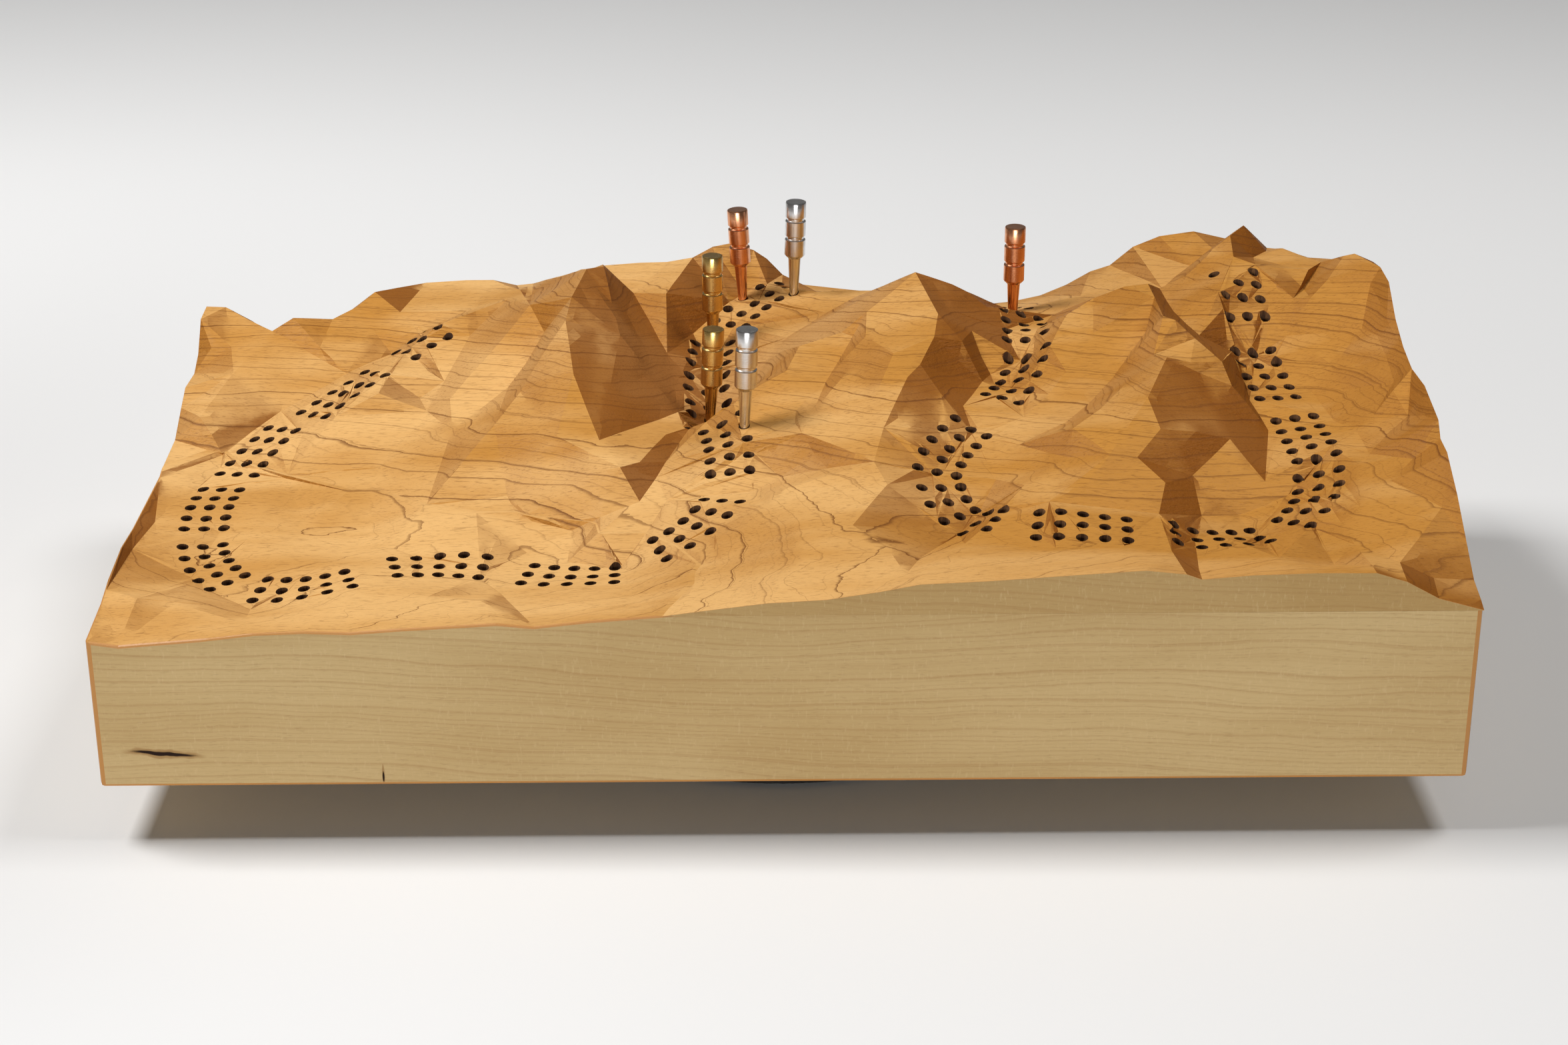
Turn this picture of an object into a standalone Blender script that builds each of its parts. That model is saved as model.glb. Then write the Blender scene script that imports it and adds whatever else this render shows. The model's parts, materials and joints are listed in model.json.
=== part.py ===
# Carved landscape cribbage board: two laminated planks whose top is cut as faceted hills,
# with a three-lane peg track that winds through the valleys, six turned metal pegs, and a round
# base on which the board swivels.

import math

import bmesh
import bpy
from mathutils import Matrix, Vector
from mathutils.geometry import delaunay_2d_cdt

# Overall sizes of the wood, in metres
board_length = 0.356
board_depth = 0.203
relief_height = 0.095
glue_gap = 0.0003
cut_overrun = 0.004
place_step = 0.00002
plan_tolerance = 0.0000001
weld_distance = 0.000001

# Track holes; the last group has fewer rows in each lane, left to right, before the finish hole
track_hole_diameter = 0.0033
track_hole_depth = 0.0078
track_hole_sides = 5
row_pitch = 0.0059
lane_pitch = 0.0054
rows_in_group = 5
lanes = 3
start_rows = 3
last_group_rows = (2, 3, 4)
finish_hole_diameter = 0.0035

# Turned pegs
peg_head_diameter = 0.00635
peg_head_length = 0.0172
peg_length = 0.0345
peg_neck_diameter = 0.0039
peg_mouth_clearance = 0.0003
peg_tip_diameter = 0.0021
peg_tip_gap = 0.0003
peg_rim_chamfer = 0.00045
peg_groove_depth = 0.00045
peg_groove_width = 0.0009
peg_shoulder_length = 0.0014
peg_sides = 12

# Round base with its rubber pads
pad_diameter = 0.014
pad_height = 0.0012
pad_taper = 0.0003
pad_inset = 0.010
pads = 4
base_diameter = 0.152
base_thickness = 0.006
base_chamfer = 0.0012
fit_gap = 0.0003

# Square ball bearing between the base and the underside
plate_side = 0.102
plate_corner_radius = 0.010
sheet_thickness = 0.001
race_radius = 0.0383
ball_diameter = 0.003
balls = 8
running_gap = 0.0003

# Screws at the corners of both bearing plates
screw_inset = 0.0075
screw_shank_diameter = 0.003
screw_point_length = 0.0015
screw_head_diameter = 0.0064
screw_head_height = 0.0016
screw_clearance = 0.0003
upper_screw_length = 0.014
lower_screw_length = 0.0052
corner_steps = 3
round_sides = 32
small_sides = 10
screw_sides = 8
smooth_angle_degrees = 35

bearing_height = ball_diameter + 4 * sheet_thickness + 3 * running_gap
base_bottom = pad_height + fit_gap
bearing_bottom = base_bottom + base_thickness + fit_gap
underside_height = bearing_bottom + bearing_height + fit_gap
glue_height = relief_height / 2

# Relief lines: crests, feet of slopes and outline, each as shares of the board's length from its
# middle, of its depth from the front face, and of the relief height above the underside.
front_edge_shares = (
    (-0.500, 0.439), (-0.476, 0.425), (-0.417, 0.443), (-0.379, 0.460), (-0.343, 0.465),
    (-0.310, 0.460), (-0.274, 0.470), (-0.205, 0.484), (-0.179, 0.474), (-0.141, 0.490),
    (-0.091, 0.501), (-0.055, 0.519), (-0.012, 0.539), (0.030, 0.548), (0.068, 0.570),
    (0.097, 0.591), (0.144, 0.599), (0.186, 0.610), (0.219, 0.618), (0.257, 0.627),
    (0.286, 0.615), (0.297, 0.600), (0.333, 0.611), (0.378, 0.616), (0.421, 0.615),
    (0.443, 0.589), (0.467, 0.539), (0.500, 0.504),
)
back_edge_shares = (
    (-0.500, 0.600), (-0.447, 0.550), (-0.400, 0.590), (-0.362, 0.690), (-0.337, 0.734),
    (-0.313, 0.750), (-0.278, 0.758), (-0.254, 0.758), (-0.233, 0.739), (-0.218, 0.745),
    (-0.189, 0.775), (-0.171, 0.790), (-0.156, 0.806), (-0.123, 0.815), (-0.099, 0.817),
    (-0.076, 0.832), (-0.058, 0.869), (-0.043, 0.880), (-0.022, 0.857), (-0.010, 0.826),
    (0.004, 0.770), (0.022, 0.735), (0.055, 0.720), (0.079, 0.710), (0.102, 0.700),
    (0.130, 0.680), (0.153, 0.670), (0.187, 0.658), (0.210, 0.672), (0.234, 0.692),
    (0.257, 0.729), (0.278, 0.775), (0.295, 0.796), (0.315, 0.860), (0.338, 0.896),
    (0.368, 0.912), (0.404, 0.880), (0.434, 0.853), (0.470, 0.819), (0.500, 0.800),
)
left_edge_shares = (
    (0.10, 0.460), (0.15, 0.485), (0.23, 0.500), (0.31, 0.494), (0.49, 0.499), (0.61, 0.514),
    (0.67, 0.573), (0.71, 0.609), (0.78, 0.602), (0.82, 0.639), (0.86, 0.728), (0.91, 0.735),
    (0.95, 0.700),
)
right_edge_shares = (
    (0.02, 0.517), (0.06, 0.535), (0.11, 0.596), (0.18, 0.682), (0.25, 0.749), (0.29, 0.756),
    (0.31, 0.798), (0.40, 0.831), (0.48, 0.823), (0.54, 0.846), (0.60, 0.891), (0.66, 0.968),
    (0.72, 0.974), (0.77, 0.958), (0.88, 0.890),
)
crease_shares = {
    "left bank foot": (
        (-0.468, 0.60, 0.536), (-0.457, 0.57, 0.498), (-0.455, 0.53, 0.487), (-0.466, 0.45, 0.480),
        (-0.479, 0.41, 0.478), (-0.488, 0.35, 0.472), (-0.495, 0.26, 0.469), (-0.500, 0.15, 0.485),
    ),
    "left rear crest": (
        (-0.500, 0.82, 0.639), (-0.487, 0.81, 0.660), (-0.470, 0.81, 0.670), (-0.437, 0.84, 0.700),
        (-0.419, 0.85, 0.739), (-0.386, 0.86, 0.724), (-0.367, 0.89, 0.743), (-0.353, 0.92, 0.777),
        (-0.337, 1.00, 0.734),
    ),
    "horn": (
        (-0.500, 0.91, 0.735), (-0.482, 0.90, 0.740), (-0.464, 0.94, 0.665), (-0.447, 1.00, 0.550),
    ),
    "start shelf front": (
        (-0.365, 0.60, 0.597), (-0.328, 0.69, 0.663), (-0.317, 0.77, 0.679), (-0.304, 0.79, 0.711),
        (-0.291, 0.81, 0.741), (-0.270, 0.83, 0.758), (-0.235, 0.88, 0.775),
    ),
    "start shelf rear": (
        (-0.367, 0.75, 0.622), (-0.332, 0.80, 0.650), (-0.310, 0.83, 0.694), (-0.270, 0.87, 0.745),
        (-0.226, 0.92, 0.778), (-0.218, 1.00, 0.745),
    ),
    "west mountain first arete": (
        (-0.218, 1.00, 0.745), (-0.212, 0.80, 0.807), (-0.242, 0.72, 0.715), (-0.272, 0.62, 0.640),
        (-0.291, 0.61, 0.607),
    ),
    "west mountain first foot": (
        (-0.226, 0.92, 0.778), (-0.235, 0.88, 0.775), (-0.264, 0.79, 0.717), (-0.280, 0.68, 0.648),
        (-0.291, 0.61, 0.607),
    ),
    "west mountain second arete": (
        (-0.171, 1.00, 0.790), (-0.164, 0.83, 0.910), (-0.174, 0.74, 0.875), (-0.178, 0.70, 0.835),
        (-0.212, 0.58, 0.694), (-0.230, 0.51, 0.640),
    ),
    "west mountain second foot": (
        (-0.174, 0.74, 0.875), (-0.198, 0.74, 0.752), (-0.225, 0.64, 0.655), (-0.230, 0.51, 0.640),
    ),
    "west mountain summit": (
        (-0.156, 1.00, 0.806), (-0.150, 0.85, 0.905), (-0.164, 0.83, 0.910),
    ),
    "canyon west brow": (
        (-0.123, 1.00, 0.815), (-0.126, 0.88, 0.794), (-0.133, 0.70, 0.781), (-0.144, 0.45, 0.635),
        (-0.126, 0.38, 0.608),
    ),
    "canyon west foot": (
        (-0.097, 0.85, 0.814), (-0.074, 0.83, 0.692), (-0.095, 0.74, 0.690), (-0.089, 0.69, 0.640),
        (-0.084, 0.60, 0.600), (-0.073, 0.53, 0.610),
    ),
    "fallen slope crest": (
        (-0.073, 0.53, 0.610), (-0.092, 0.49, 0.622), (-0.111, 0.40, 0.612), (-0.126, 0.38, 0.608),
        (-0.140, 0.31, 0.510), (-0.163, 0.23, 0.446),
    ),
    "fallen slope foot": (
        (-0.073, 0.53, 0.610), (-0.091, 0.42, 0.594), (-0.098, 0.39, 0.567), (-0.110, 0.33, 0.550),
        (-0.139, 0.27, 0.504), (-0.163, 0.23, 0.446),
    ),
    "canyon sill": (
        (-0.073, 0.53, 0.610), (-0.060, 0.51, 0.644), (-0.038, 0.52, 0.702), (-0.017, 0.55, 0.727),
        (0.005, 0.57, 0.759), (0.016, 0.63, 0.792), (0.038, 0.63, 0.787), (0.051, 0.66, 0.819),
        (0.072, 0.68, 0.867),
    ),
    "canyon east foot": (
        (-0.017, 0.55, 0.727), (-0.028, 0.65, 0.635), (-0.011, 0.69, 0.705), (0.006, 0.74, 0.740),
        (0.040, 0.81, 0.768), (0.034, 0.89, 0.786), (0.055, 0.90, 0.784), (0.088, 0.88, 0.800),
    ),
    "middle ridge": (
        (0.072, 0.68, 0.867), (0.067, 0.74, 0.860), (0.088, 0.77, 0.892), (0.114, 0.75, 0.948),
        (0.129, 0.74, 0.918), (0.145, 0.75, 0.906), (0.158, 0.75, 0.882), (0.174, 0.74, 0.840),
    ),
    "middle arete": (
        (0.072, 0.68, 0.867), (0.070, 0.62, 0.832), (0.059, 0.56, 0.789), (0.025, 0.46, 0.711),
        (0.016, 0.41, 0.688),
    ),
    "middle arete foot": (
        (0.072, 0.68, 0.867), (0.060, 0.65, 0.805), (0.037, 0.55, 0.743), (0.012, 0.48, 0.702),
        (0.016, 0.41, 0.688),
    ),
    "middle east arete": (
        (0.072, 0.68, 0.867), (0.078, 0.64, 0.843), (0.091, 0.55, 0.827), (0.101, 0.50, 0.790),
        (0.127, 0.49, 0.744), (0.145, 0.48, 0.712), (0.150, 0.42, 0.678),
    ),
    "bowl west crest": (
        (0.101, 0.50, 0.790), (0.073, 0.46, 0.748), (0.080, 0.40, 0.715), (0.071, 0.33, 0.665),
        (0.080, 0.28, 0.635),
    ),
    "summit east arete": (
        (0.114, 0.75, 0.948), (0.130, 0.65, 0.882), (0.148, 0.60, 0.830), (0.164, 0.57, 0.718),
        (0.177, 0.57, 0.711),
    ),
    "summit east foot": (
        (0.129, 0.74, 0.918), (0.141, 0.69, 0.868), (0.158, 0.65, 0.825), (0.172, 0.60, 0.716),
        (0.177, 0.57, 0.711),
    ),
    "saddle brow": (
        (0.187, 0.53, 0.714), (0.201, 0.54, 0.742), (0.220, 0.60, 0.810), (0.238, 0.68, 0.855),
        (0.262, 0.72, 0.882), (0.288, 0.72, 0.915), (0.307, 0.72, 0.927), (0.308, 0.66, 0.925),
        (0.310, 0.59, 0.914),
    ),
    "saddle foot": (
        (0.187, 0.53, 0.714), (0.198, 0.62, 0.748), (0.212, 0.68, 0.796), (0.232, 0.78, 0.780),
        (0.262, 0.88, 0.775), (0.278, 1.00, 0.775),
    ),
    "long arete": (
        (0.310, 0.59, 0.914), (0.319, 0.58, 0.906), (0.299, 0.53, 0.837), (0.274, 0.47, 0.788),
        (0.249, 0.41, 0.758), (0.225, 0.36, 0.734), (0.220, 0.32, 0.678), (0.184, 0.27, 0.640),
        (0.165, 0.22, 0.605), (0.134, 0.14, 0.580), (0.100, 0.04, 0.585),
    ),
    "long foot": (
        (0.310, 0.59, 0.914), (0.299, 0.62, 0.838), (0.267, 0.53, 0.765), (0.246, 0.48, 0.722),
        (0.225, 0.44, 0.692), (0.185, 0.38, 0.672), (0.164, 0.31, 0.620), (0.146, 0.24, 0.566),
        (0.132, 0.20, 0.551), (0.100, 0.11, 0.565), (0.088, 0.05, 0.572),
    ),
    "east pyramid crest": (
        (0.319, 0.58, 0.906), (0.334, 0.56, 0.862), (0.352, 0.51, 0.829), (0.358, 0.48, 0.776),
        (0.375, 0.50, 0.711), (0.384, 0.43, 0.670), (0.370, 0.30, 0.620),
    ),
    "east pyramid wall top": (
        (0.352, 0.51, 0.829), (0.326, 0.50, 0.837), (0.333, 0.49, 0.803), (0.342, 0.43, 0.744),
        (0.348, 0.37, 0.697), (0.355, 0.29, 0.612), (0.370, 0.30, 0.620),
    ),
    "pyramid buttress": (
        (0.274, 0.47, 0.788), (0.286, 0.41, 0.792), (0.307, 0.50, 0.848), (0.299, 0.53, 0.837),
    ),
    "toe facets": (
        (0.239, 0.33, 0.722), (0.266, 0.35, 0.747), (0.271, 0.30, 0.697), (0.262, 0.28, 0.682),
        (0.250, 0.30, 0.704), (0.239, 0.33, 0.722),
    ),
    "plateau edge": (
        (0.290, 0.26, 0.655), (0.282, 0.21, 0.606), (0.283, 0.10, 0.590), (0.286, 0.00, 0.615),
    ),
    "plateau foot": (
        (0.314, 0.30, 0.640), (0.317, 0.24, 0.570), (0.306, 0.17, 0.563), (0.300, 0.06, 0.572),
        (0.297, 0.00, 0.600),
    ),
    "finish crest": (
        (0.307, 0.72, 0.927), (0.322, 0.78, 0.866), (0.345, 0.79, 0.899), (0.364, 0.82, 0.945),
        (0.371, 0.84, 0.959), (0.387, 0.86, 0.988), (0.402, 0.90, 0.996), (0.404, 1.00, 0.880),
    ),
    "finish crest foot": (
        (0.322, 0.78, 0.866), (0.331, 0.86, 0.815), (0.360, 0.93, 0.840), (0.382, 0.96, 0.880),
        (0.404, 1.00, 0.880),
    ),
    "east wall crest": (
        (0.407, 0.85, 0.920), (0.422, 0.89, 0.915), (0.435, 0.88, 0.932), (0.447, 0.78, 0.920),
        (0.427, 0.70, 0.888), (0.407, 0.70, 0.870),
    ),
    "east wall foot": (
        (0.407, 0.85, 0.920), (0.402, 0.78, 0.945), (0.407, 0.70, 0.870),
    ),
    "east rib crest": (
        (0.476, 0.78, 0.970), (0.458, 0.73, 0.930), (0.440, 0.69, 0.899),
    ),
    "east rib foot": (
        (0.470, 1.00, 0.819), (0.462, 0.82, 0.925), (0.440, 0.75, 0.885), (0.427, 0.70, 0.888),
    ),
    "east summit": (
        (0.500, 0.77, 0.958), (0.485, 0.78, 0.979), (0.476, 0.78, 0.970), (0.462, 0.82, 0.925),
    ),
    "east shoulder": (
        (0.490, 0.70, 0.936), (0.494, 0.61, 0.880), (0.498, 0.55, 0.849),
    ),
    "east valley wall top": (
        (0.448, 0.57, 0.770), (0.486, 0.60, 0.834), (0.488, 0.55, 0.800), (0.488, 0.49, 0.773),
        (0.465, 0.42, 0.727), (0.449, 0.39, 0.695), (0.452, 0.33, 0.680), (0.440, 0.30, 0.674),
        (0.430, 0.19, 0.636), (0.414, 0.17, 0.609), (0.419, 0.12, 0.587), (0.400, 0.08, 0.566),
    ),
    "east valley wall foot": (
        (0.448, 0.57, 0.770), (0.428, 0.53, 0.710), (0.436, 0.44, 0.692), (0.428, 0.36, 0.685),
        (0.420, 0.28, 0.638), (0.412, 0.22, 0.622), (0.395, 0.18, 0.595), (0.400, 0.08, 0.566),
    ),
}
spot_shares = (
    (-0.473, 0.10, 0.471), (-0.445, 0.20, 0.436), (-0.446, 0.10, 0.456), (-0.390, 0.04, 0.452),
    (-0.436, 0.33, 0.458), (-0.412, 0.30, 0.462), (-0.415, 0.40, 0.484), (-0.407, 0.34, 0.468),
    (-0.379, 0.24, 0.459), (-0.346, 0.22, 0.458), (-0.329, 0.29, 0.453), (-0.301, 0.27, 0.463),
    (-0.325, 0.35, 0.460), (-0.370, 0.34, 0.459), (-0.328, 0.08, 0.467), (-0.392, 0.11, 0.425),
    (-0.314, 0.18, 0.465), (-0.261, 0.10, 0.467), (-0.221, 0.08, 0.474), (-0.397, 0.48, 0.499),
    (-0.391, 0.58, 0.558), (-0.480, 0.63, 0.575), (-0.462, 0.74, 0.633), (-0.417, 0.67, 0.560),
    (-0.349, 0.84, 0.699), (-0.329, 0.88, 0.731), (-0.332, 0.64, 0.640), (-0.299, 0.65, 0.614),
    (-0.445, 0.91, 0.600), (-0.168, 0.58, 0.747), (-0.178, 0.46, 0.640), (-0.204, 0.33, 0.494),
    (-0.195, 0.26, 0.450), (-0.162, 0.30, 0.484), (-0.210, 0.14, 0.440), (-0.120, 0.20, 0.450),
    (-0.112, 0.10, 0.470), (-0.089, 0.33, 0.549), (-0.237, 0.34, 0.500), (-0.226, 0.18, 0.444),
    (-0.324, 0.48, 0.529), (-0.278, 0.37, 0.500), (-0.215, 0.38, 0.520), (-0.266, 0.54, 0.600),
    (-0.057, 0.57, 0.508), (-0.054, 0.64, 0.566), (-0.060, 0.74, 0.636), (-0.040, 0.84, 0.698),
    (-0.018, 0.90, 0.750), (-0.043, 0.91, 0.740), (-0.030, 0.93, 0.755), (-0.010, 0.94, 0.778),
    (0.036, 0.95, 0.738), (0.011, 0.45, 0.690), (-0.001, 0.36, 0.596), (0.003, 0.30, 0.608),
    (-0.014, 0.26, 0.587), (-0.022, 0.33, 0.576), (-0.030, 0.42, 0.650), (-0.044, 0.15, 0.518),
    (-0.054, 0.10, 0.511), (0.013, 0.20, 0.590), (0.012, 0.09, 0.562), (0.052, 0.18, 0.602),
    (0.076, 0.13, 0.583), (0.116, 0.32, 0.635), (0.073, 0.95, 0.732),
    (0.125, 0.88, 0.720), (0.165, 0.88, 0.730), (0.200, 0.84, 0.750), (0.188, 0.70, 0.790),
    (0.214, 0.50, 0.732), (0.192, 0.45, 0.700), (0.125, 0.59, 0.850), (0.112, 0.53, 0.808),
    (0.230, 0.54, 0.772), (0.256, 0.62, 0.836), (0.200, 0.12, 0.584), (0.250, 0.12, 0.588),
    (0.200, 0.22, 0.634), (0.292, 0.35, 0.746), (0.326, 0.19, 0.556), (0.346, 0.25, 0.560),
    (0.386, 0.28, 0.595), (0.352, 0.19, 0.545), (0.360, 0.08, 0.585), (0.343, 0.62, 0.825),
    (0.327, 0.69, 0.852), (0.364, 0.70, 0.898), (0.375, 0.62, 0.768), (0.390, 0.62, 0.757),
    (0.418, 0.65, 0.800), (0.447, 0.64, 0.812), (0.477, 0.63, 0.835), (0.472, 0.67, 0.888),
    (0.385, 0.80, 0.958), (0.489, 0.40, 0.742), (0.479, 0.28, 0.704), (0.458, 0.24, 0.669),
    (0.423, 0.04, 0.597), (0.445, 0.06, 0.588), (0.469, 0.05, 0.547), (0.488, 0.17, 0.652),
)

# Peg track: for each group of rows its middle row's place as shares of length and depth, the
# heading of travel in degrees from the board's length, and the turn over the group in degrees.
station_shares = (
    (-0.364, 0.672, -134, 8), (-0.427, 0.557, -115, 17), (-0.450, 0.395, -92, 17),
    (-0.434, 0.230, -64, 30), (-0.356, 0.153, 3, 32), (-0.259, 0.213, 3, -23),
    (-0.159, 0.184, -7, 17), (-0.065, 0.255, 44, 44), (-0.042, 0.427, 96, 11),
    (-0.058, 0.587, 91, 6), (-0.060, 0.740, 86, -5), (-0.021, 0.895, 42, -36),
    (0.085, 0.945, -2, -14), (0.184, 0.888, -48, -44), (0.205, 0.725, -88, -20),
    (0.193, 0.562, -112, -24), (0.131, 0.378, -117, 26), (0.134, 0.238, -55, 52),
    (0.222, 0.166, -7, 5), (0.324, 0.167, 10, 22), (0.402, 0.246, 64, 42),
    (0.410, 0.394, 95, 3), (0.393, 0.566, 99, -2), (0.384, 0.735, 93, -11),
)
start_share = (-0.305, 0.790, -140)
finish_share = (0.366, 0.765)

# Pegs: metal, group, row, lane, share of the hole's depth that the tip reaches, and lean in
# degrees to the right and to the back.
peg_seat_shares = (
    ("front_steel_peg", "steel", 8, 3, 2, 0.76, 2.0, 0.0),
    ("front_brass_peg", "brass", 9, 3, 1, 0.69, 2.8, 0.0),
    ("rear_brass_peg", "brass", 10, 4, 1, 0.77, 0.5, 0.0),
    ("rear_copper_peg", "copper", 11, 2, 0, 0.76, -2.8, 0.0),
    ("rear_steel_peg", "steel", 11, 4, 2, 0.69, 1.5, 0.0),
    ("saddle_copper_peg", "copper", 13, 4, 1, 0.97, 0.3, 0.0),
)
groove_shares = (0.30, 0.64)
border_share = 0.000001


def clear_scene():
    for item in list(bpy.data.objects):
        bpy.data.objects.remove(item, do_unlink=True)


def make_material(name, colour, roughness, metallic=0.0):
    material = bpy.data.materials.new(name)
    material.use_nodes = True
    shader = material.node_tree.nodes["Principled BSDF"]
    shader.inputs["Base Color"].default_value = (*colour, 1.0)
    shader.inputs["Roughness"].default_value = roughness
    shader.inputs["Metallic"].default_value = metallic
    return material


def add_object(name, mesh, material=None):
    item = bpy.data.objects.new(name, mesh)
    bpy.context.scene.collection.objects.link(item)
    if material:
        item.data.materials.append(material)
    return item


def mesh_from(bm, name):
    mesh = bpy.data.meshes.new(name)
    bm.to_mesh(mesh)
    bm.free()
    return mesh


def as_cutter(item):
    item.hide_render = True
    item.display_type = "WIRE"
    return item


def cut(item, cutter, operation="DIFFERENCE", holes_may_meet=False):
    modifier = item.modifiers.new(cutter.name, "BOOLEAN")
    modifier.operation = operation
    modifier.solver = "EXACT"
    modifier.use_self = holes_may_meet
    modifier.object = cutter


def board_point(x_share, y_share, z_share):
    return Vector((
        x_share * board_length,
        (y_share - 0.5) * board_depth,
        underside_height + z_share * relief_height,
    ))


def relief_lines():
    lines = [
        [board_point(x, 0, z) for x, z in front_edge_shares],
        [board_point(x, 1, z) for x, z in back_edge_shares],
    ]
    for x, edge in ((-0.5, left_edge_shares), (0.5, right_edge_shares)):
        end = 0 if x < 0 else -1
        first = board_point(x, 0, front_edge_shares[end][1])
        last = board_point(x, 1, back_edge_shares[end][1])
        lines.append([first] + [board_point(x, y, z) for y, z in edge] + [last])
    for points in crease_shares.values():
        lines.append([board_point(*point) for point in points])
    return lines


def relief_surface():
    """Triangles of the carved top, laid in plan between the creases and single spots."""
    points = []
    edges = []
    index_of = {}

    def index(point):
        key = tuple(round(value / place_step) for value in point.xy)
        if key not in index_of:
            index_of[key] = len(points)
            points.append(point)
        return index_of[key]

    for line in relief_lines():
        indices = [index(point) for point in line]
        edges.extend((a, b) for a, b in zip(indices, indices[1:]) if a != b)
    for spot in spot_shares:
        index(board_point(*spot))
    plan = [point.xy for point in points]
    flat, _, faces, sources, _, _ = delaunay_2d_cdt(
        plan, edges, [], 0, plan_tolerance, True)
    corners = []
    for place, source in zip(flat, sources):
        if not source:
            raise ValueError("two creases cross at %.3f, %.3f" % (
                place.x / board_length, place.y / board_depth + 0.5))
        corners.append(points[source[0]])
    return corners, faces


def surface_height(corners, faces, x, y):
    place = Vector((x, y))
    for a, b, c in faces:
        pa, pb, pc = corners[a], corners[b], corners[c]
        area = (pb.xy - pa.xy).cross(pc.xy - pa.xy)
        u = (pb.xy - place).cross(pc.xy - place) / area
        v = (pc.xy - place).cross(pa.xy - place) / area
        if min(u, v, 1 - u - v) >= -border_share:
            return u * pa.z + v * pb.z + (1 - u - v) * pc.z
    raise ValueError("a place lies outside the board")


def solid_under(corners, faces):
    """The whole carved block, from the relief down to the underside."""
    bm = bmesh.new()
    verts = [bm.verts.new(corner) for corner in corners]
    for face in faces:
        bm.faces.new([verts[i] for i in face])
    bmesh.ops.recalc_face_normals(bm, faces=bm.faces)
    rim = [edge for edge in bm.edges if edge.is_boundary]
    wall = bmesh.ops.extrude_edge_only(bm, edges=rim)["geom"]
    for item in wall:
        if isinstance(item, bmesh.types.BMVert):
            item.co.z = underside_height
    rim = [edge for edge in bm.edges if edge.is_boundary]
    bmesh.ops.holes_fill(bm, edges=rim, sides=0)
    bmesh.ops.recalc_face_normals(bm, faces=bm.faces)
    return mesh_from(bm, "carved_block")


def group_holes(station):
    """Places of one group's holes, as a list of rows, each with its lanes from left to right."""
    x, y, heading, turn = station
    middle = board_point(x, y, 0).xy
    rows = []
    for row in range(rows_in_group):
        step = row - (rows_in_group - 1) / 2
        angle = math.radians(heading + turn * step / (rows_in_group - 1))
        chord = math.radians(heading + turn * step / (rows_in_group - 1) / 2)
        ahead = Vector((math.cos(chord), math.sin(chord))) * (step * row_pitch)
        across = Vector((-math.sin(angle), math.cos(angle)))
        places = [
            middle + ahead + across * (((lanes - 1) / 2 - lane) * lane_pitch) for lane in range(lanes)
        ]
        rows.append(places)
    return rows


def start_holes():
    x, y, heading = start_share
    middle = board_point(x, y, 0).xy
    angle = math.radians(heading)
    ahead = Vector((math.cos(angle), math.sin(angle)))
    across = Vector((-math.sin(angle), math.cos(angle)))
    places = []
    for row in range(start_rows):
        for lane in range(lanes):
            along = (row - (start_rows - 1) / 2) * row_pitch
            aside = (lane - (lanes - 1) / 2) * lane_pitch
            places.append(middle + ahead * along + across * aside)
    return places


def add_prism(bm, place, top, bottom, diameter):
    """An upright prism whose flats touch a circle of the given diameter."""
    radius = diameter / 2 / math.cos(math.pi / track_hole_sides)
    middle = Vector((place.x, place.y, (top + bottom) / 2))
    bmesh.ops.create_cone(
        bm, cap_ends=True, segments=track_hole_sides, radius1=radius, radius2=radius,
        depth=top - bottom, matrix=Matrix.Translation(middle),
    )


def make_hole_cutter(corners, faces):
    bm = bmesh.new()
    top = underside_height + relief_height + cut_overrun
    places = start_holes()
    for station in station_shares:
        for number, row in enumerate(group_holes(station)):
            last = station == station_shares[-1]
            places.extend(
                place for place, rows in zip(row, last_group_rows) if not last or number < rows)
    for place in places:
        floor = surface_height(corners, faces, place.x, place.y) - track_hole_depth
        add_prism(bm, place, top, floor, track_hole_diameter)
    finish = board_point(*finish_share, 0)
    floor = surface_height(corners, faces, finish.x, finish.y) - track_hole_depth
    add_prism(bm, finish, top, floor, finish_hole_diameter)
    return as_cutter(add_object("track_drill", mesh_from(bm, "track_drill")))


def make_block(name, length, depth, bottom, top):
    bm = bmesh.new()
    bmesh.ops.create_cube(bm, size=1.0)
    bmesh.ops.scale(bm, vec=(length, depth, top - bottom), verts=bm.verts)
    bmesh.ops.translate(bm, vec=(0, 0, (top + bottom) / 2), verts=bm.verts)
    return as_cutter(add_object(name, mesh_from(bm, name)))


def make_drills(name, diameter, bottom, top, places):
    """Upright round cutters, one at each place."""
    bm = bmesh.new()
    for x, y in places:
        bmesh.ops.create_cone(
            bm, cap_ends=True, segments=small_sides, radius1=diameter / 2, radius2=diameter / 2,
            depth=top - bottom, matrix=Matrix.Translation((x, y, (top + bottom) / 2)),
        )
    return as_cutter(add_object(name, mesh_from(bm, name)))


def spun(bm, profile, sides):
    """Turns a line of (radius, height) points about +Z."""
    verts = [bm.verts.new((radius, 0, height)) for radius, height in profile]
    edges = [bm.edges.new(pair) for pair in zip(verts, verts[1:])]
    bmesh.ops.spin(
        bm, geom=verts + edges, cent=(0, 0, 0), axis=(0, 0, 1), angle=math.tau, steps=sides,
        use_merge=True,
    )
    bmesh.ops.remove_doubles(bm, verts=bm.verts, dist=weld_distance)


def finished(bm, name, material):
    bmesh.ops.recalc_face_normals(bm, faces=bm.faces)
    mesh = mesh_from(bm, name)
    mesh.shade_smooth()
    mesh.set_sharp_from_angle(angle=math.radians(smooth_angle_degrees))
    return add_object(name, mesh, material)


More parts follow.
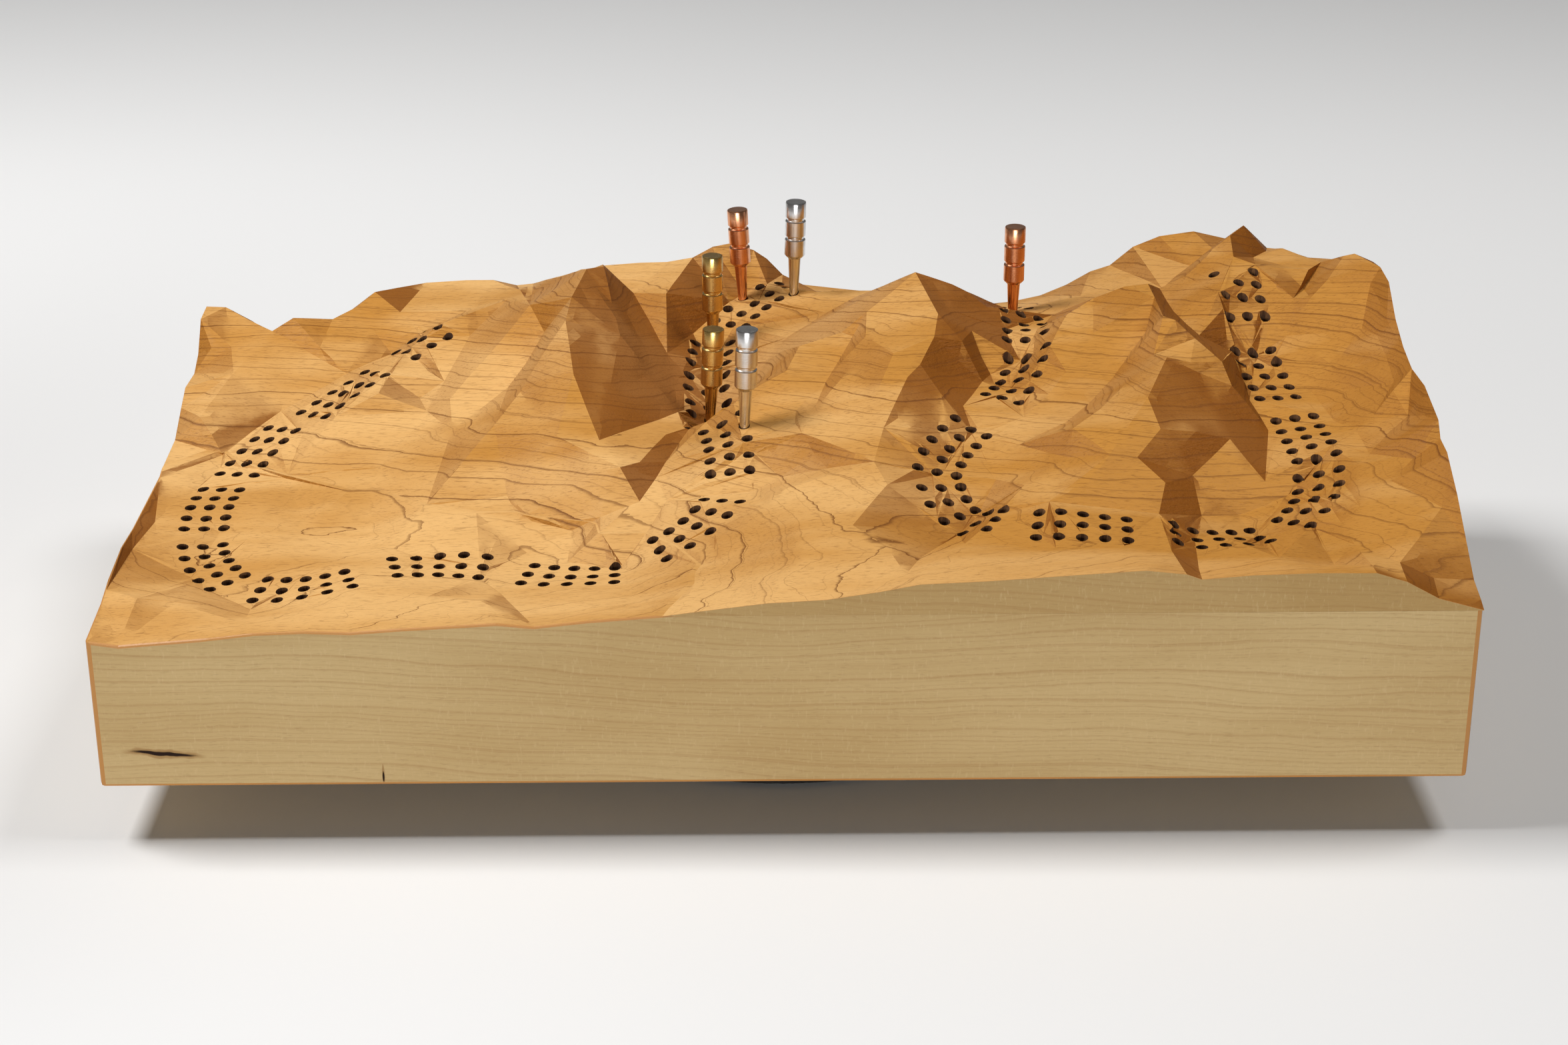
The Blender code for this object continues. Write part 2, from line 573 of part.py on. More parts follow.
def turned(name, profile, sides, material):
    """A closed turned piece about +Z from (radius, height) points that start and end on the axis."""
    bm = bmesh.new()
    spun(bm, profile, sides)
    return finished(bm, name, material)


def make_planks(corners, faces, drill, screw_drills, wood):
    block = solid_under(corners, faces)
    glue = underside_height + glue_height
    top = underside_height + relief_height + cut_overrun
    length = board_length + 2 * cut_overrun
    depth = board_depth + 2 * cut_overrun
    lower_zone = make_block("lower_zone", length, depth, underside_height - cut_overrun, glue)
    upper_zone = make_block("upper_zone", length, depth, glue + glue_gap, top)
    lower = add_object("lower_plank", block, wood)
    upper = add_object("upper_plank", block.copy(), wood)
    cut(lower, drill, holes_may_meet=True)
    cut(upper, drill, holes_may_meet=True)
    cut(lower, screw_drills)
    cut(lower, lower_zone, "INTERSECT")
    cut(upper, upper_zone, "INTERSECT")


def peg_profile(tip_depth):
    """Turned outline of a peg, with height zero at the mouth of its hole."""
    head_radius = peg_head_diameter / 2
    groove_radius = head_radius - peg_groove_depth
    mouth_radius = track_hole_diameter / 2 - peg_mouth_clearance
    top = peg_length - tip_depth
    head_base = top - peg_head_length
    points = [(0, -tip_depth), (peg_tip_diameter / 2, -tip_depth), (mouth_radius, 0)]
    points.append((peg_neck_diameter / 2, head_base - peg_shoulder_length))
    points.append((head_radius, head_base))
    for share in reversed(groove_shares):
        middle = top - share * peg_head_length
        low = middle - peg_groove_width / 2
        high = middle + peg_groove_width / 2
        points += [(head_radius, low), (groove_radius, low), (groove_radius, high), (head_radius, high)]
    points += [(head_radius, top - peg_rim_chamfer), (head_radius - peg_rim_chamfer, top), (0, top)]
    return points


def make_pegs(corners, faces, metals):
    for name, metal, group, row, lane, depth_share, lean_right, lean_back in peg_seat_shares:
        place = group_holes(station_shares[group])[row][lane]
        mouth = surface_height(corners, faces, place.x, place.y)
        tip_depth = depth_share * (track_hole_depth - peg_tip_gap)
        peg = turned(name, peg_profile(tip_depth), peg_sides, metals[metal])
        lean = Matrix.Rotation(math.radians(lean_right), 4, "Y") @ Matrix.Rotation(
            -math.radians(lean_back), 4, "X")
        middle = Matrix.Translation((0, 0, -tip_depth / 2))
        peg.matrix_world = Matrix.Translation((place.x, place.y, mouth)) @ middle @ lean @ middle.inverted()


def square_outline():
    """Corner arcs of a bearing plate, counterclockwise."""
    middle = plate_side / 2 - plate_corner_radius
    points = []
    for quarter in range(4):
        for step in range(corner_steps + 1):
            angle = math.radians(90 * (quarter + step / corner_steps))
            across = middle if quarter in (0, 3) else -middle
            along = middle if quarter in (0, 1) else -middle
            points.append((
                across + plate_corner_radius * math.cos(angle),
                along + plate_corner_radius * math.sin(angle),
            ))
    return points


def screw_places():
    reach = plate_side / 2 - screw_inset
    return [(x * reach, y * reach) for x in (-1, 1) for y in (-1, 1)]


def bearing_plate(name, section, screw_holes, steel):
    """Square sheet joined to a turned ring, whose section runs from the sheet's top to its underside."""
    bm = bmesh.new()
    spun(bm, section, round_sides)
    heights = (section[0][1], section[-1][1])
    outline = square_outline()
    rims = []
    for height in heights:
        verts = [bm.verts.new((x, y, height)) for x, y in outline]
        rims.append(verts)
        square = [bm.edges.new((a, b)) for a, b in zip(verts, verts[1:] + verts[:1])]
        inner = [
            edge for edge in bm.edges if edge.is_boundary
            and all(abs(vert.co.z - height) < weld_distance for vert in edge.verts)
        ]
        bmesh.ops.triangle_fill(bm, use_beauty=True, edges=square + inner)
    for step, vert in enumerate(rims[0]):
        following = (step + 1) % len(outline)
        bm.faces.new((vert, rims[0][following], rims[1][following], rims[1][step]))
    plate = finished(bm, name, steel)
    cut(plate, screw_holes)


def make_bearing(steel):
    sheet = sheet_thickness
    collar_outside = race_radius - ball_diameter / 2 - running_gap
    collar_inside = collar_outside - sheet
    over_flats = 1 / math.cos(math.pi / round_sides)
    upper_inside = (collar_outside + running_gap) * over_flats
    lip_outside = upper_inside + sheet
    skirt_inside = (race_radius + ball_diameter / 2 + running_gap) * over_flats
    skirt_outside = skirt_inside + sheet
    flat_inside = skirt_outside + sheet
    bottom = bearing_bottom
    top = bearing_bottom + bearing_height
    floor = bottom + 2 * sheet
    roof = top - 2 * sheet - running_gap
    holes = make_drills(
        "plate_drill", screw_shank_diameter + 2 * screw_clearance, bottom - cut_overrun,
        top + cut_overrun, screw_places())
    bearing_plate("lower_bearing_plate", [
        (flat_inside, bottom + sheet), (skirt_outside, floor), (collar_outside, floor),
        (collar_outside, top - sheet), (lip_outside, top - sheet), (lip_outside, top),
        (collar_inside, top), (collar_inside, bottom + sheet), (skirt_outside, bottom + sheet),
        (flat_inside, bottom),
    ], holes, steel)
    bearing_plate("upper_bearing_plate", [
        (flat_inside, top), (skirt_outside, roof + sheet), (upper_inside, roof + sheet),
        (upper_inside, roof), (skirt_inside, roof), (skirt_inside, floor + running_gap),
        (skirt_outside, floor + running_gap), (skirt_outside, roof), (flat_inside, top - sheet),
    ], holes, steel)
    for number in range(balls):
        bm = bmesh.new()
        bmesh.ops.create_icosphere(bm, subdivisions=2, radius=ball_diameter / 2)
        ball = finished(bm, f"bearing_ball_{number + 1}", steel)
        angle = math.tau * (number + 0.5) / balls
        ball.location = (
            race_radius * math.cos(angle), race_radius * math.sin(angle),
            floor + running_gap + ball_diameter / 2)


def make_screws(steel):
    """Round-headed screws: four up into the underside, four down into the base."""
    shank = screw_shank_diameter / 2
    head = screw_head_diameter / 2
    for side, seat, up, length in (
        ("upper", bearing_bottom + bearing_height - sheet_thickness - fit_gap, 1, upper_screw_length),
        ("lower", bearing_bottom + sheet_thickness + fit_gap, -1, lower_screw_length),
    ):
        profile = [
            (0, seat + up * length), (shank, seat + up * (length - screw_point_length)), (shank, seat),
            (head, seat), (head, seat - up * screw_head_height / 2), (head / 2, seat - up * screw_head_height),
            (0, seat - up * screw_head_height),
        ]
        for number, (x, y) in enumerate(screw_places()):
            screw = turned(f"{side}_screw_{number + 1}", profile, screw_sides, steel)
            screw.location = (x, y, 0)


def make_base(black, rubber):
    rim = base_diameter / 2
    top = base_bottom + base_thickness
    base = turned("round_base", [
        (0, base_bottom), (rim - base_chamfer, base_bottom), (rim, base_bottom + base_chamfer),
        (rim, top - base_chamfer), (rim - base_chamfer, top), (0, top),
    ], round_sides, black)
    depth = lower_screw_length - sheet_thickness - 2 * fit_gap + screw_clearance
    cut(base, make_drills(
        "base_drill", screw_shank_diameter + 2 * screw_clearance, top - depth, top + cut_overrun,
        screw_places()))
    for number in range(pads):
        pad = turned(f"rubber_pad_{number + 1}", [
            (0, 0), (pad_diameter / 2 - pad_taper, 0), (pad_diameter / 2, pad_taper),
            (pad_diameter / 2, pad_height), (0, pad_height),
        ], small_sides, rubber)
        angle = math.tau * number / pads
        pad.location = (
            (rim - pad_inset) * math.cos(angle), (rim - pad_inset) * math.sin(angle), 0)


def main():
    clear_scene()
    wood = make_material("maple", (0.72, 0.47, 0.23), 0.42)
    steel = make_material("steel", (0.62, 0.61, 0.60), 0.25, 1.0)
    brass = make_material("brass", (0.66, 0.50, 0.24), 0.28, 1.0)
    copper = make_material("copper", (0.78, 0.36, 0.20), 0.25, 1.0)
    zinc = make_material("zinc", (0.55, 0.56, 0.58), 0.38, 1.0)
    black = make_material("black_paint", (0.03, 0.03, 0.03), 0.55)
    rubber = make_material("rubber", (0.05, 0.05, 0.05), 0.80)
    corners, faces = relief_surface()
    drill = make_hole_cutter(corners, faces)
    screw_drills = make_drills(
        "screw_drill", screw_shank_diameter + 2 * screw_clearance, underside_height - cut_overrun,
        underside_height + upper_screw_length - sheet_thickness - 2 * fit_gap + screw_clearance,
        screw_places())
    make_planks(corners, faces, drill, screw_drills, wood)
    make_pegs(corners, faces, {"steel": steel, "brass": brass, "copper": copper})
    make_base(black, rubber)
    make_bearing(zinc)
    make_screws(zinc)


main()
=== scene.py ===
import json
import math

import bmesh
import bpy
from bpy.props import FloatProperty, FloatVectorProperty, IntProperty, PointerProperty
from bpy.types import Operator, Panel, PropertyGroup
from mathutils import Euler, Matrix, Vector, noise


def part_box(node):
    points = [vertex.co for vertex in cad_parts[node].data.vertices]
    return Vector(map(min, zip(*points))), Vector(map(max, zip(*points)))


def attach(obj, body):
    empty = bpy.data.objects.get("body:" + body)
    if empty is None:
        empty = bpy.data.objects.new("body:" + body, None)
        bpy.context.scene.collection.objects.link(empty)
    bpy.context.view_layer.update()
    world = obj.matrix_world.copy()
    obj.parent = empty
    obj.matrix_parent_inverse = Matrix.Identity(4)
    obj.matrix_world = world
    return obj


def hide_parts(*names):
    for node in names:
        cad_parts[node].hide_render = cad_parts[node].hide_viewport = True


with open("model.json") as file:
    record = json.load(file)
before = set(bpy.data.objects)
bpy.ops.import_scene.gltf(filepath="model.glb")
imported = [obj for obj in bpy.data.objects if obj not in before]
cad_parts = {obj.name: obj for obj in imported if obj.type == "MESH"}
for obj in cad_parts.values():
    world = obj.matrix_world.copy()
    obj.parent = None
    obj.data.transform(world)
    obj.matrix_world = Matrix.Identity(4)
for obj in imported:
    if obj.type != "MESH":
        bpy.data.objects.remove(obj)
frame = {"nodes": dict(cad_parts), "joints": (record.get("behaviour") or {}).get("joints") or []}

bl_info = {
    "name": "Carved landscape cribbage board",
    "version": (1, 0, 0),
    "blender": (4, 5, 0),
    "location": "3D View > Sidebar > Cribbage",
    "description": "Dresses the carved maple board, its metal pegs and its swivel base",
    "category": "Object",
}

CARVED, PLANED, OILED = range(3)

# Lengths in metres.
WALL_TOLERANCE = 0.0002
MERGE_DISTANCE = 0.00001
HAIR = 0.00001
SHORT_EDGE = 0.0001
OVERRUN = 0.003
DEGENERATE = 0.00002

# The upward part of a face's normal: less than UPRIGHT on a wall, more than LEVEL on a level face,
# more than LOOKS_UP on any face that looks up.
UPRIGHT = 0.01
LEVEL = 0.999
DEAD_LEVEL = 0.9999
LOOKS_UP = 0.5

# A hole's floor is smaller than this times the hole's width squared. Two drilled ends closer than
# SAME_HOLE times the hole's width are one hole.
FLOOR_AREA = 2
SAME_HOLE = 0.8
LEAST_WOOD_LEFT = 0.9

FLAT_ENOUGH = math.radians(0.4)
SHARP_CORNER = 1.0
SMOOTH_WOOD = math.radians(4)
SMOOTH_METAL = math.radians(24)
SMOOTH_BASE = math.radians(38)

# Small facets move by FLAT_SHARE of their depth on level ground and by all of it on a slope.
REFINE_ROUNDS = 4
FACET_PITCH = 400
FLAT_SHARE = 0.12
SLOPE_SHARE = 3.5
ROLL_SHARE = 0.5
WAVES = ((60, 1), (130, 0.3))

block_low, block_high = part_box("lower_plank")
upper_low, upper_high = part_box("upper_plank")

PEG_METALS = {
    "front_steel_peg": "steel",
    "front_brass_peg": "brass",
    "rear_brass_peg": "brass",
    "rear_copper_peg": "copper",
    "rear_steel_peg": "steel",
    "saddle_copper_peg": "copper",
}

# Shift of the noise, middle and bow of the growth rings' sheets, their lean, and how grey the
# planed sides are.
PLANK_GRAINS = {
    "lower_plank": ((0.3, 0.1, 0.7), (0.03, 0.9), 0.035, 0.0),
    "upper_plank": ((1.7, 2.3, 0.2), (-0.05, 1.3), 0.055, 0.80),
}

# Middle (x, z), length and width of the dark splits in the front face.
SPLIT_SLOPE = 0.09
FRONT_SPLITS = (
    ((-0.1606, 0.0257), 0.0176, 0.0013),
    ((-0.1042, 0.0182), 0.0006, 0.0036),
)

# Name, bright and dull colour and least roughness of the pegs' metals.
METALS = {
    "steel": ("polished steel", (0.74, 0.73, 0.72), (0.52, 0.51, 0.50), 0.16),
    "brass": ("aged brass", (0.74, 0.50, 0.17), (0.52, 0.33, 0.11), 0.20),
    "copper": ("bright copper", (0.86, 0.42, 0.23), (0.62, 0.26, 0.12), 0.17),
}
ZINC_BRIGHT, ZINC_DULL = (0.60, 0.61, 0.63), (0.42, 0.43, 0.45)
PAINT_BLACK, PAINT_SCUFFED = (0.020, 0.018, 0.017), (0.060, 0.055, 0.050)
RUBBER_BLACK, RUBBER_DUSTY = (0.030, 0.030, 0.031), (0.085, 0.083, 0.080)

# Peg outline. The tip's points are (radius, height), the neck's (radius, distance under the head).
PEG_HEAD_LENGTH = 0.0172
PEG_HEAD_RADIUS = 0.00634 / 2
PEG_TIP = ((0.00075, 0.0), (0.00103, 0.0003), (0.00135, 0.0055))
PEG_NECK = ((0.00193, 0.0012), (0.00203, 0.00085))
PEG_CROWN_SHARE = 0.4
GROOVE_PLACES = (0.34, 0.68)

# Roundings: how far each point lies inside the full radius, and how far from the rim or middle.
HEAD_FOOT = ((0.00025, 0.0), (0.0, 0.00035))
HEAD_TOP = ((0.00042, 0.0), (0.00012, 0.00014), (0.0, 0.00042))
GROOVE = ((0.00050, 0.000275), (0.00026, 0.00050), (0.00008, 0.00058), (0.0, 0.00075))
BASE_RIM = ((0.0016, 0.0), (0.0004, 0.00024), (0.0, 0.00112))
PAD_RIM = ((0.0006, 0.0), (0.0001, 0.0003), (0.0, 0.0006))

# Floor: size of the flat sheet, steps and step length of the sweep behind it, height of its wall.
FLOOR_SIZE = (9.0, 5.0, 1.0)
SWEEP_STEPS = 12
SWEEP_STEP = 0.20
WALL_HEIGHT = 3.0
PAPER_LIGHT, PAPER_DARK = (0.80, 0.795, 0.79), (0.78, 0.775, 0.77)

# Painted light and shade on the paper: axis, start and end of the change, tone.
PAINTED_FLOOR_LIGHT = (
    ("x", 0.15, 0.6, (0.80, 0.795, 0.79)),
    ("x", -0.08, -0.30, (0.68, 0.673, 0.667)),
    ("y", -0.10, -0.34, (0.88, 0.877, 0.875)),
    ("y", 0.12, 0.60, (0.90, 0.896, 0.89)),
)

# Name, place, aim, size and watts of each lamp.
LAMPS = (
    ("left softbox", (-0.74, 0.02, 1.22), (-0.02, 0, 0), (0.5, 0.40), 16.5),
    ("right softbox", (0.62, 0.02, 1.35), (0.02, 0, 0), (0.5, 0.40), 7.5),
    ("front fill", (-0.1, -2.3, 0.26), (0, 0, 0.06), (1.2, 0.3), 18.5),
)
ROOM_COLOUR = (1.0, 0.98, 0.95, 1.0)
ROOM_STRENGTH = 0.08
SENSOR_WIDTH = 36.0


class BoardSizes(PropertyGroup):
    rim_width: FloatProperty(
        name="Rim width", description="Width of the rounding between the carved top and the sides",
        default=0.0006, unit="LENGTH")
    corner_width: FloatProperty(
        name="Corner width", description="Width of the rounding at the block's upright corners",
        default=0.0016, unit="LENGTH")
    foot_edge_width: FloatProperty(
        name="Lower edge width", description="Width of the rounding along the underside",
        default=0.0009, unit="LENGTH")
    crease_angle: FloatProperty(
        name="Crease angle", description="Facets that meet more flatly than this roll together",
        default=math.radians(5), subtype="ANGLE")
    small_facet: FloatProperty(
        name="Small facet", description="Longest edge of the small facets cut into the slopes",
        default=0.015, unit="LENGTH")
    facet_depth: FloatProperty(
        name="Facet depth", description="How far the small facets' corners stand up or lie in",
        default=0.0020, unit="LENGTH")
    ground_mesh: FloatProperty(
        name="Ground mesh", description="Longest edge of the carved ground's mesh",
        default=0.0042, unit="LENGTH")
    ground_roll: IntProperty(
        name="Ground roll", description="Rounds of smoothing between the creases", default=1)
    crease_blunting: FloatProperty(
        name="Crease blunting", description="Share by which sanding wore the creases down",
        default=0.06, subtype="FACTOR")
    ground_unevenness: FloatProperty(
        name="Ground unevenness", description="How far the hand-sanded ground wanders up and down",
        default=0.00010, unit="LENGTH")
    hole_width: FloatProperty(
        name="Hole width", description="Width of each round peg hole",
        default=0.0033, unit="LENGTH")
    hole_sides: IntProperty(
        name="Hole sides", description="Sides of each round peg hole", default=16)
    peg_sides: IntProperty(
        name="Peg sides", description="Sides of each turned peg", default=48)
    base_sides: IntProperty(
        name="Base sides", description="Sides of the round base", default=128)
    small_sides: IntProperty(
        name="Pad sides", description="Sides of each rubber pad", default=40)


class WoodLook(PropertyGroup):
    honey: FloatVectorProperty(
        name="Honey", description="Oiled carved wood in full light",
        default=(0.74, 0.430, 0.158), subtype="COLOR")
    # Amber is also the colour of the painted shade on slopes that face the front or back.
    amber: FloatVectorProperty(
        name="Amber", description="Deeper patches of the carved wood",
        default=(0.50, 0.225, 0.042), subtype="COLOR")
    # Partly real end grain, partly painted shade: colour of steep facets, darkest where they face
    # right (+x).
    end_grain_and_shade: FloatVectorProperty(
        name="End grain", description="Steep facets that drank more finish",
        default=(0.215, 0.060, 0.004), subtype="COLOR")
    ring_brown: FloatVectorProperty(
        name="Ring brown", description="Thin lines of late wood",
        default=(0.15, 0.048, 0.010), subtype="COLOR")
    planed: FloatVectorProperty(
        name="Planed", description="Pale planed sides",
        default=(0.60, 0.430, 0.205), subtype="COLOR")
    planed_dark: FloatVectorProperty(
        name="Planed dark", description="Greyer streaks of the planed sides",
        default=(0.46, 0.295, 0.115), subtype="COLOR")
    finish_orange: FloatVectorProperty(
        name="Finish orange", description="Oil that gathered along the block's edges",
        default=(0.50, 0.22, 0.05), subtype="COLOR")
    side_line: FloatVectorProperty(
        name="Side line", description="Lines of late wood in the planed sides",
        default=(0.36, 0.185, 0.062), subtype="COLOR")
    side_fleck: FloatVectorProperty(
        name="Side fleck", description="Flecks of the planed sides",
        default=(0.30, 0.165, 0.062), subtype="COLOR")
    side_pore: FloatVectorProperty(
        name="Side pore", description="Pale pores of the planed sides",
        default=(0.72, 0.545, 0.300), subtype="COLOR")
    split_halo: FloatVectorProperty(
        name="Split halo", description="Stain around the splits in the front face",
        default=(0.28, 0.125, 0.030), subtype="COLOR")
    # Painted shade inside the splits, which are only painted on the flat front face.
    split_shade: FloatVectorProperty(
        name="Split black", description="Depth of the splits in the front face",
        default=(0.022, 0.010, 0.006), subtype="COLOR")
    # Painted shade: the peg holes' walls are painted very dark brown.
    hole_shade_brown: FloatVectorProperty(
        name="Hole brown", description="Scorched walls of the peg holes",
        default=(0.075, 0.028, 0.008), subtype="COLOR")
    hole_fuzz: FloatVectorProperty(
        name="Hole fuzz", description="Torn fibres in the peg holes",
        default=(0.26, 0.120, 0.040), subtype="COLOR")
    ring_pitch: FloatProperty(
        name="Ring pitch", description="Distance between strong growth rings",
        default=0.0036, unit="LENGTH")


class StageLook(PropertyGroup):
    lens: FloatProperty(name="Lens", description="Focal length in millimetres", default=64.3)
    camera_place: FloatVectorProperty(
        name="Camera place", description="Place of the camera",
        default=(-0.0043, -0.7472, 0.3615), unit="LENGTH")
    pitch: FloatProperty(
        name="Pitch", description="How far the camera looks down",
        default=math.radians(22.85), subtype="ANGLE")
    yaw: FloatProperty(
        name="Yaw", description="How far the camera looks to the right",
        default=math.radians(0.39), subtype="ANGLE")
    roll: FloatProperty(
        name="Roll", description="Turn of the camera about its view",
        default=math.radians(-0.24), subtype="ANGLE")


class Wire:
    """A value in a material's node tree that takes part in Python expressions."""

    def __init__(self, plan, socket):
        self.plan = plan
        self.socket = socket

    def math(self, operation, *others):
        return self.plan.node("ShaderNodeMath", {"operation": operation}, (self, *others))

    def __add__(self, other):
        return self.math("ADD", other)

    __radd__ = __add__

    def __mul__(self, other):
        return self.math("MULTIPLY", other)

    __rmul__ = __mul__

    def __sub__(self, other):
        return self.math("SUBTRACT", other)

    def __rsub__(self, other):
        return self.plan.node("ShaderNodeMath", {"operation": "SUBTRACT"}, (other, self))

    def __truediv__(self, other):
        return self.math("DIVIDE", other)


class Plan:
    """The node tree of one material."""

    def __init__(self, name):
        self.material = bpy.data.materials.new(name)
        self.material.use_nodes = True
        self.tree = self.material.node_tree
        self.tree.nodes.clear()
        self.place = self.node("ShaderNodeTexCoord", output="Object")

    def node(self, kind, settings=None, values=(), output=0):
        made = self.tree.nodes.new(kind)
        for name, value in (settings or {}).items():
            setattr(made, name, value)
        pairs = values.items() if isinstance(values, dict) else enumerate(values)
        for key, value in pairs:
            self.feed(made.inputs[key], value)
        return Wire(self, made.outputs[output]) if len(made.outputs) else None

    def feed(self, socket, value):
        if isinstance(value, Wire):
            self.tree.links.new(value.socket, socket)
        elif socket.type == "RGBA" and len(value) == 3:
            socket.default_value = (*value, 1.0)
        else:
            socket.default_value = value

    def split(self, vector):
        made = self.tree.nodes.new("ShaderNodeSeparateXYZ")
        self.feed(made.inputs[0], vector)
        return [Wire(self, made.outputs[axis]) for axis in "XYZ"]

    def stretched(self, scales, shift=(0, 0, 0)):
        return self.node("ShaderNodeMapping", {"vector_type": "POINT"}, {
            "Vector": self.place, "Location": shift, "Scale": scales})

    def noise(self, scales, detail=2.0, roughness=0.5, shift=(0, 0, 0)):
        return self.node("ShaderNodeTexNoise", None, {
            "Vector": self.stretched(scales, shift), "Scale": 1.0, "Detail": detail,
            "Roughness": roughness})

    def rise(self, value, low, high):
        """A smooth step from 0 at the low value to 1 at the high one."""
        return self.node(
            "ShaderNodeMapRange", {"interpolation_type": "SMOOTHSTEP"},
            (value, low, high, 0.0, 1.0))

    def mixed(self, factor, first, second):
        return self.node("ShaderNodeMix", {"data_type": "RGBA", "clamp_factor": True}, {
            0: factor, 6: first, 7: second}, output=2)

    def surface(self, **sockets):
        names = {
            key.replace("_", " ").title().replace("Ior", "IOR"): value
            for key, value in sockets.items()
        }
        shader = self.node("ShaderNodeBsdfPrincipled", None, names)
        self.node("ShaderNodeOutputMaterial", None, (shader,))
        return self.material

    def bump(self, height, strength, distance):
        return self.node("ShaderNodeBump", None, {
            "Strength": strength, "Distance": distance, "Height": height})


class Grain:
    """Growth rings, flecks, tool marks and masks of painted shade that the wood's materials share.
    """

    def __init__(self, plan, shift, bow, lean, pitch):
        self.plan = plan
        x, y, z = plan.split(plan.place)
        across, along, up = plan.split(plan.node("ShaderNodeTexCoord", output="Normal"))
        broad = plan.noise((5, 16, 16), 2.0, 0.5, shift) - 0.5
        wander = plan.noise((28, 90, 90), 2.0, 0.5, shift) - 0.5
        jagged = plan.noise((300, 900, 900), 2.0, 0.6, shift) - 0.5
        aside = y - bow[0]
        level = z + x * lean + aside * aside * bow[1]
        level = level + broad * 0.022 + wander * 0.0030 + jagged * 0.00022
        tilt = (1 - up * up).math("MAXIMUM", 0.004).math("SQRT")
        self.line = self.rings(level, tilt, pitch, width=0.00100, least=0.40)
        self.hair = self.rings(level + 0.0011, tilt, pitch * 0.36, width=0.00055, least=0.10)
        # Partly real end grain, partly painted shade: steep facets that face right (+x) darken
        # fully, those that face left half as much.
        self.end = plan.rise(across, 0.05, 0.34) + plan.rise(-1 * across, 0.10, 0.48) * 0.50
        # Painted shade: mask of slopes that face the front or back; it darkens the carved colour
        # and also strengthens the tool marks' bump.
        self.facing = plan.rise(along.math("ABSOLUTE"), 0.15, 0.75)
        self.broad = plan.rise(plan.noise((9, 34, 34), 3.0, 0.55, shift), 0.35, 0.68)
        self.fleck = plan.rise(plan.noise((300, 2600, 2600), 2.0, 0.6), 0.53, 0.72)
        self.pass_mark = plan.noise((90, 1300, 1300), 2.0, 0.6)
        self.fine = plan.noise((1100, 3600, 3600), 1.0, 0.5)

    def rings(self, level, tilt, pitch, width, least):
        """Late wood: a line of the same width on flat and on steep ground, sharp on one side."""
        phase = level / pitch
        number = phase.math("FLOOR")
        weight = self.plan.node(
            "ShaderNodeTexWhiteNoise", {"noise_dimensions": "1D"}, {"W": number})
        breadth = tilt * (width / pitch) + 0.006
        line = 1 - self.plan.rise(1 - phase.math("FRACT"), 0.0, breadth)
        return line * (weight * (0.95 - least) + least)


def carved_maple(name, look, shift, bow, lean):
    plan = Plan(name)
    grain = Grain(plan, shift, bow, lean, look.ring_pitch)
    aside, _, _ = plan.split(plan.place)
    # deep: random deeper patches, painted shade on slopes that face the front or back, and a ramp
    # darker towards the right end.
    deep = grain.broad * 0.75 + grain.facing * 0.80 + plan.rise(aside, -0.03, 0.15) * 0.62
    tone = plan.mixed(deep, look.honey[:], look.amber[:])
    # Steep facets take the end-grain colour: partly real end grain, partly painted shade on the
    # right-facing side.
    tone = plan.mixed(grain.end * 0.84, tone, look.end_grain_and_shade[:])
    tone = plan.mixed(grain.line * 0.96, tone, look.ring_brown[:])
    tone = plan.mixed(grain.hair * 0.50, tone, look.ring_brown[:])
    tone = plan.mixed(grain.fleck * 0.42, tone, look.ring_brown[:])
    height = grain.pass_mark * (grain.facing * 0.9 + 0.3) + grain.fine * 0.25 - grain.line * 0.2
    rough = 0.40 + grain.fine * 0.12 + grain.end * 0.06
    return plan.surface(
        base_color=tone, roughness=rough, specular_ior_level=0.08,
        normal=plan.bump(height, 0.60, 0.0005))


def split_mark(plan, middle, length, width):
    """A dark split in the front face: how deep in it a place lies."""
    x, y, z = plan.split(plan.place)
    waver = plan.noise((160, 160, 160), 2.0, 0.6) - 0.5
    along = (x - middle[0]) / (length / 2)
    across = (z - middle[1] + (x - middle[0]) * SPLIT_SLOPE + waver * width) / (width / 2)
    inside = 1 - plan.rise(along * along + across * across, 0.45, 1.15)
    return inside * plan.rise(-1 * y, -block_low.y - 0.002, -block_low.y - 0.001)


def planed_maple(name, look, shift, bow, lean, shade):
    plan = Plan(name)
    grain = Grain(plan, shift, bow, lean, look.ring_pitch)
    tone = plan.mixed(grain.broad * 0.55 + shade, look.planed[:], look.planed_dark[:])
    tone = plan.mixed(grain.line * 0.34, tone, look.side_line[:])
    tone = plan.mixed(grain.hair * 0.32, tone, look.side_line[:])
    tone = plan.mixed(grain.fleck * 0.22, tone, look.side_fleck[:])
    pore = plan.rise(plan.noise((1500, 1500, 420), 2.0, 0.6), 0.55, 0.75)
    tone = plan.mixed(pore * 0.22, tone, look.side_pore[:])
    for middle, length, width in FRONT_SPLITS:
        halo = split_mark(plan, middle, length * 1.25, width * 2.2)
        tone = plan.mixed(halo * 0.55, tone, look.split_halo[:])
        # Painted shade of the splits' gaps, on the flat face.
        tone = plan.mixed(split_mark(plan, middle, length, width), tone, look.split_shade[:])
    ripple = plan.noise((420, 900, 900), 2.0, 0.5)
    height = ripple * 0.5 + grain.fine * 0.3
    rough = 0.50 + grain.fine * 0.12
    return plan.surface(
        base_color=tone, roughness=rough, specular_ior_level=0.08,
        normal=plan.bump(height, 0.22, 0.0003))


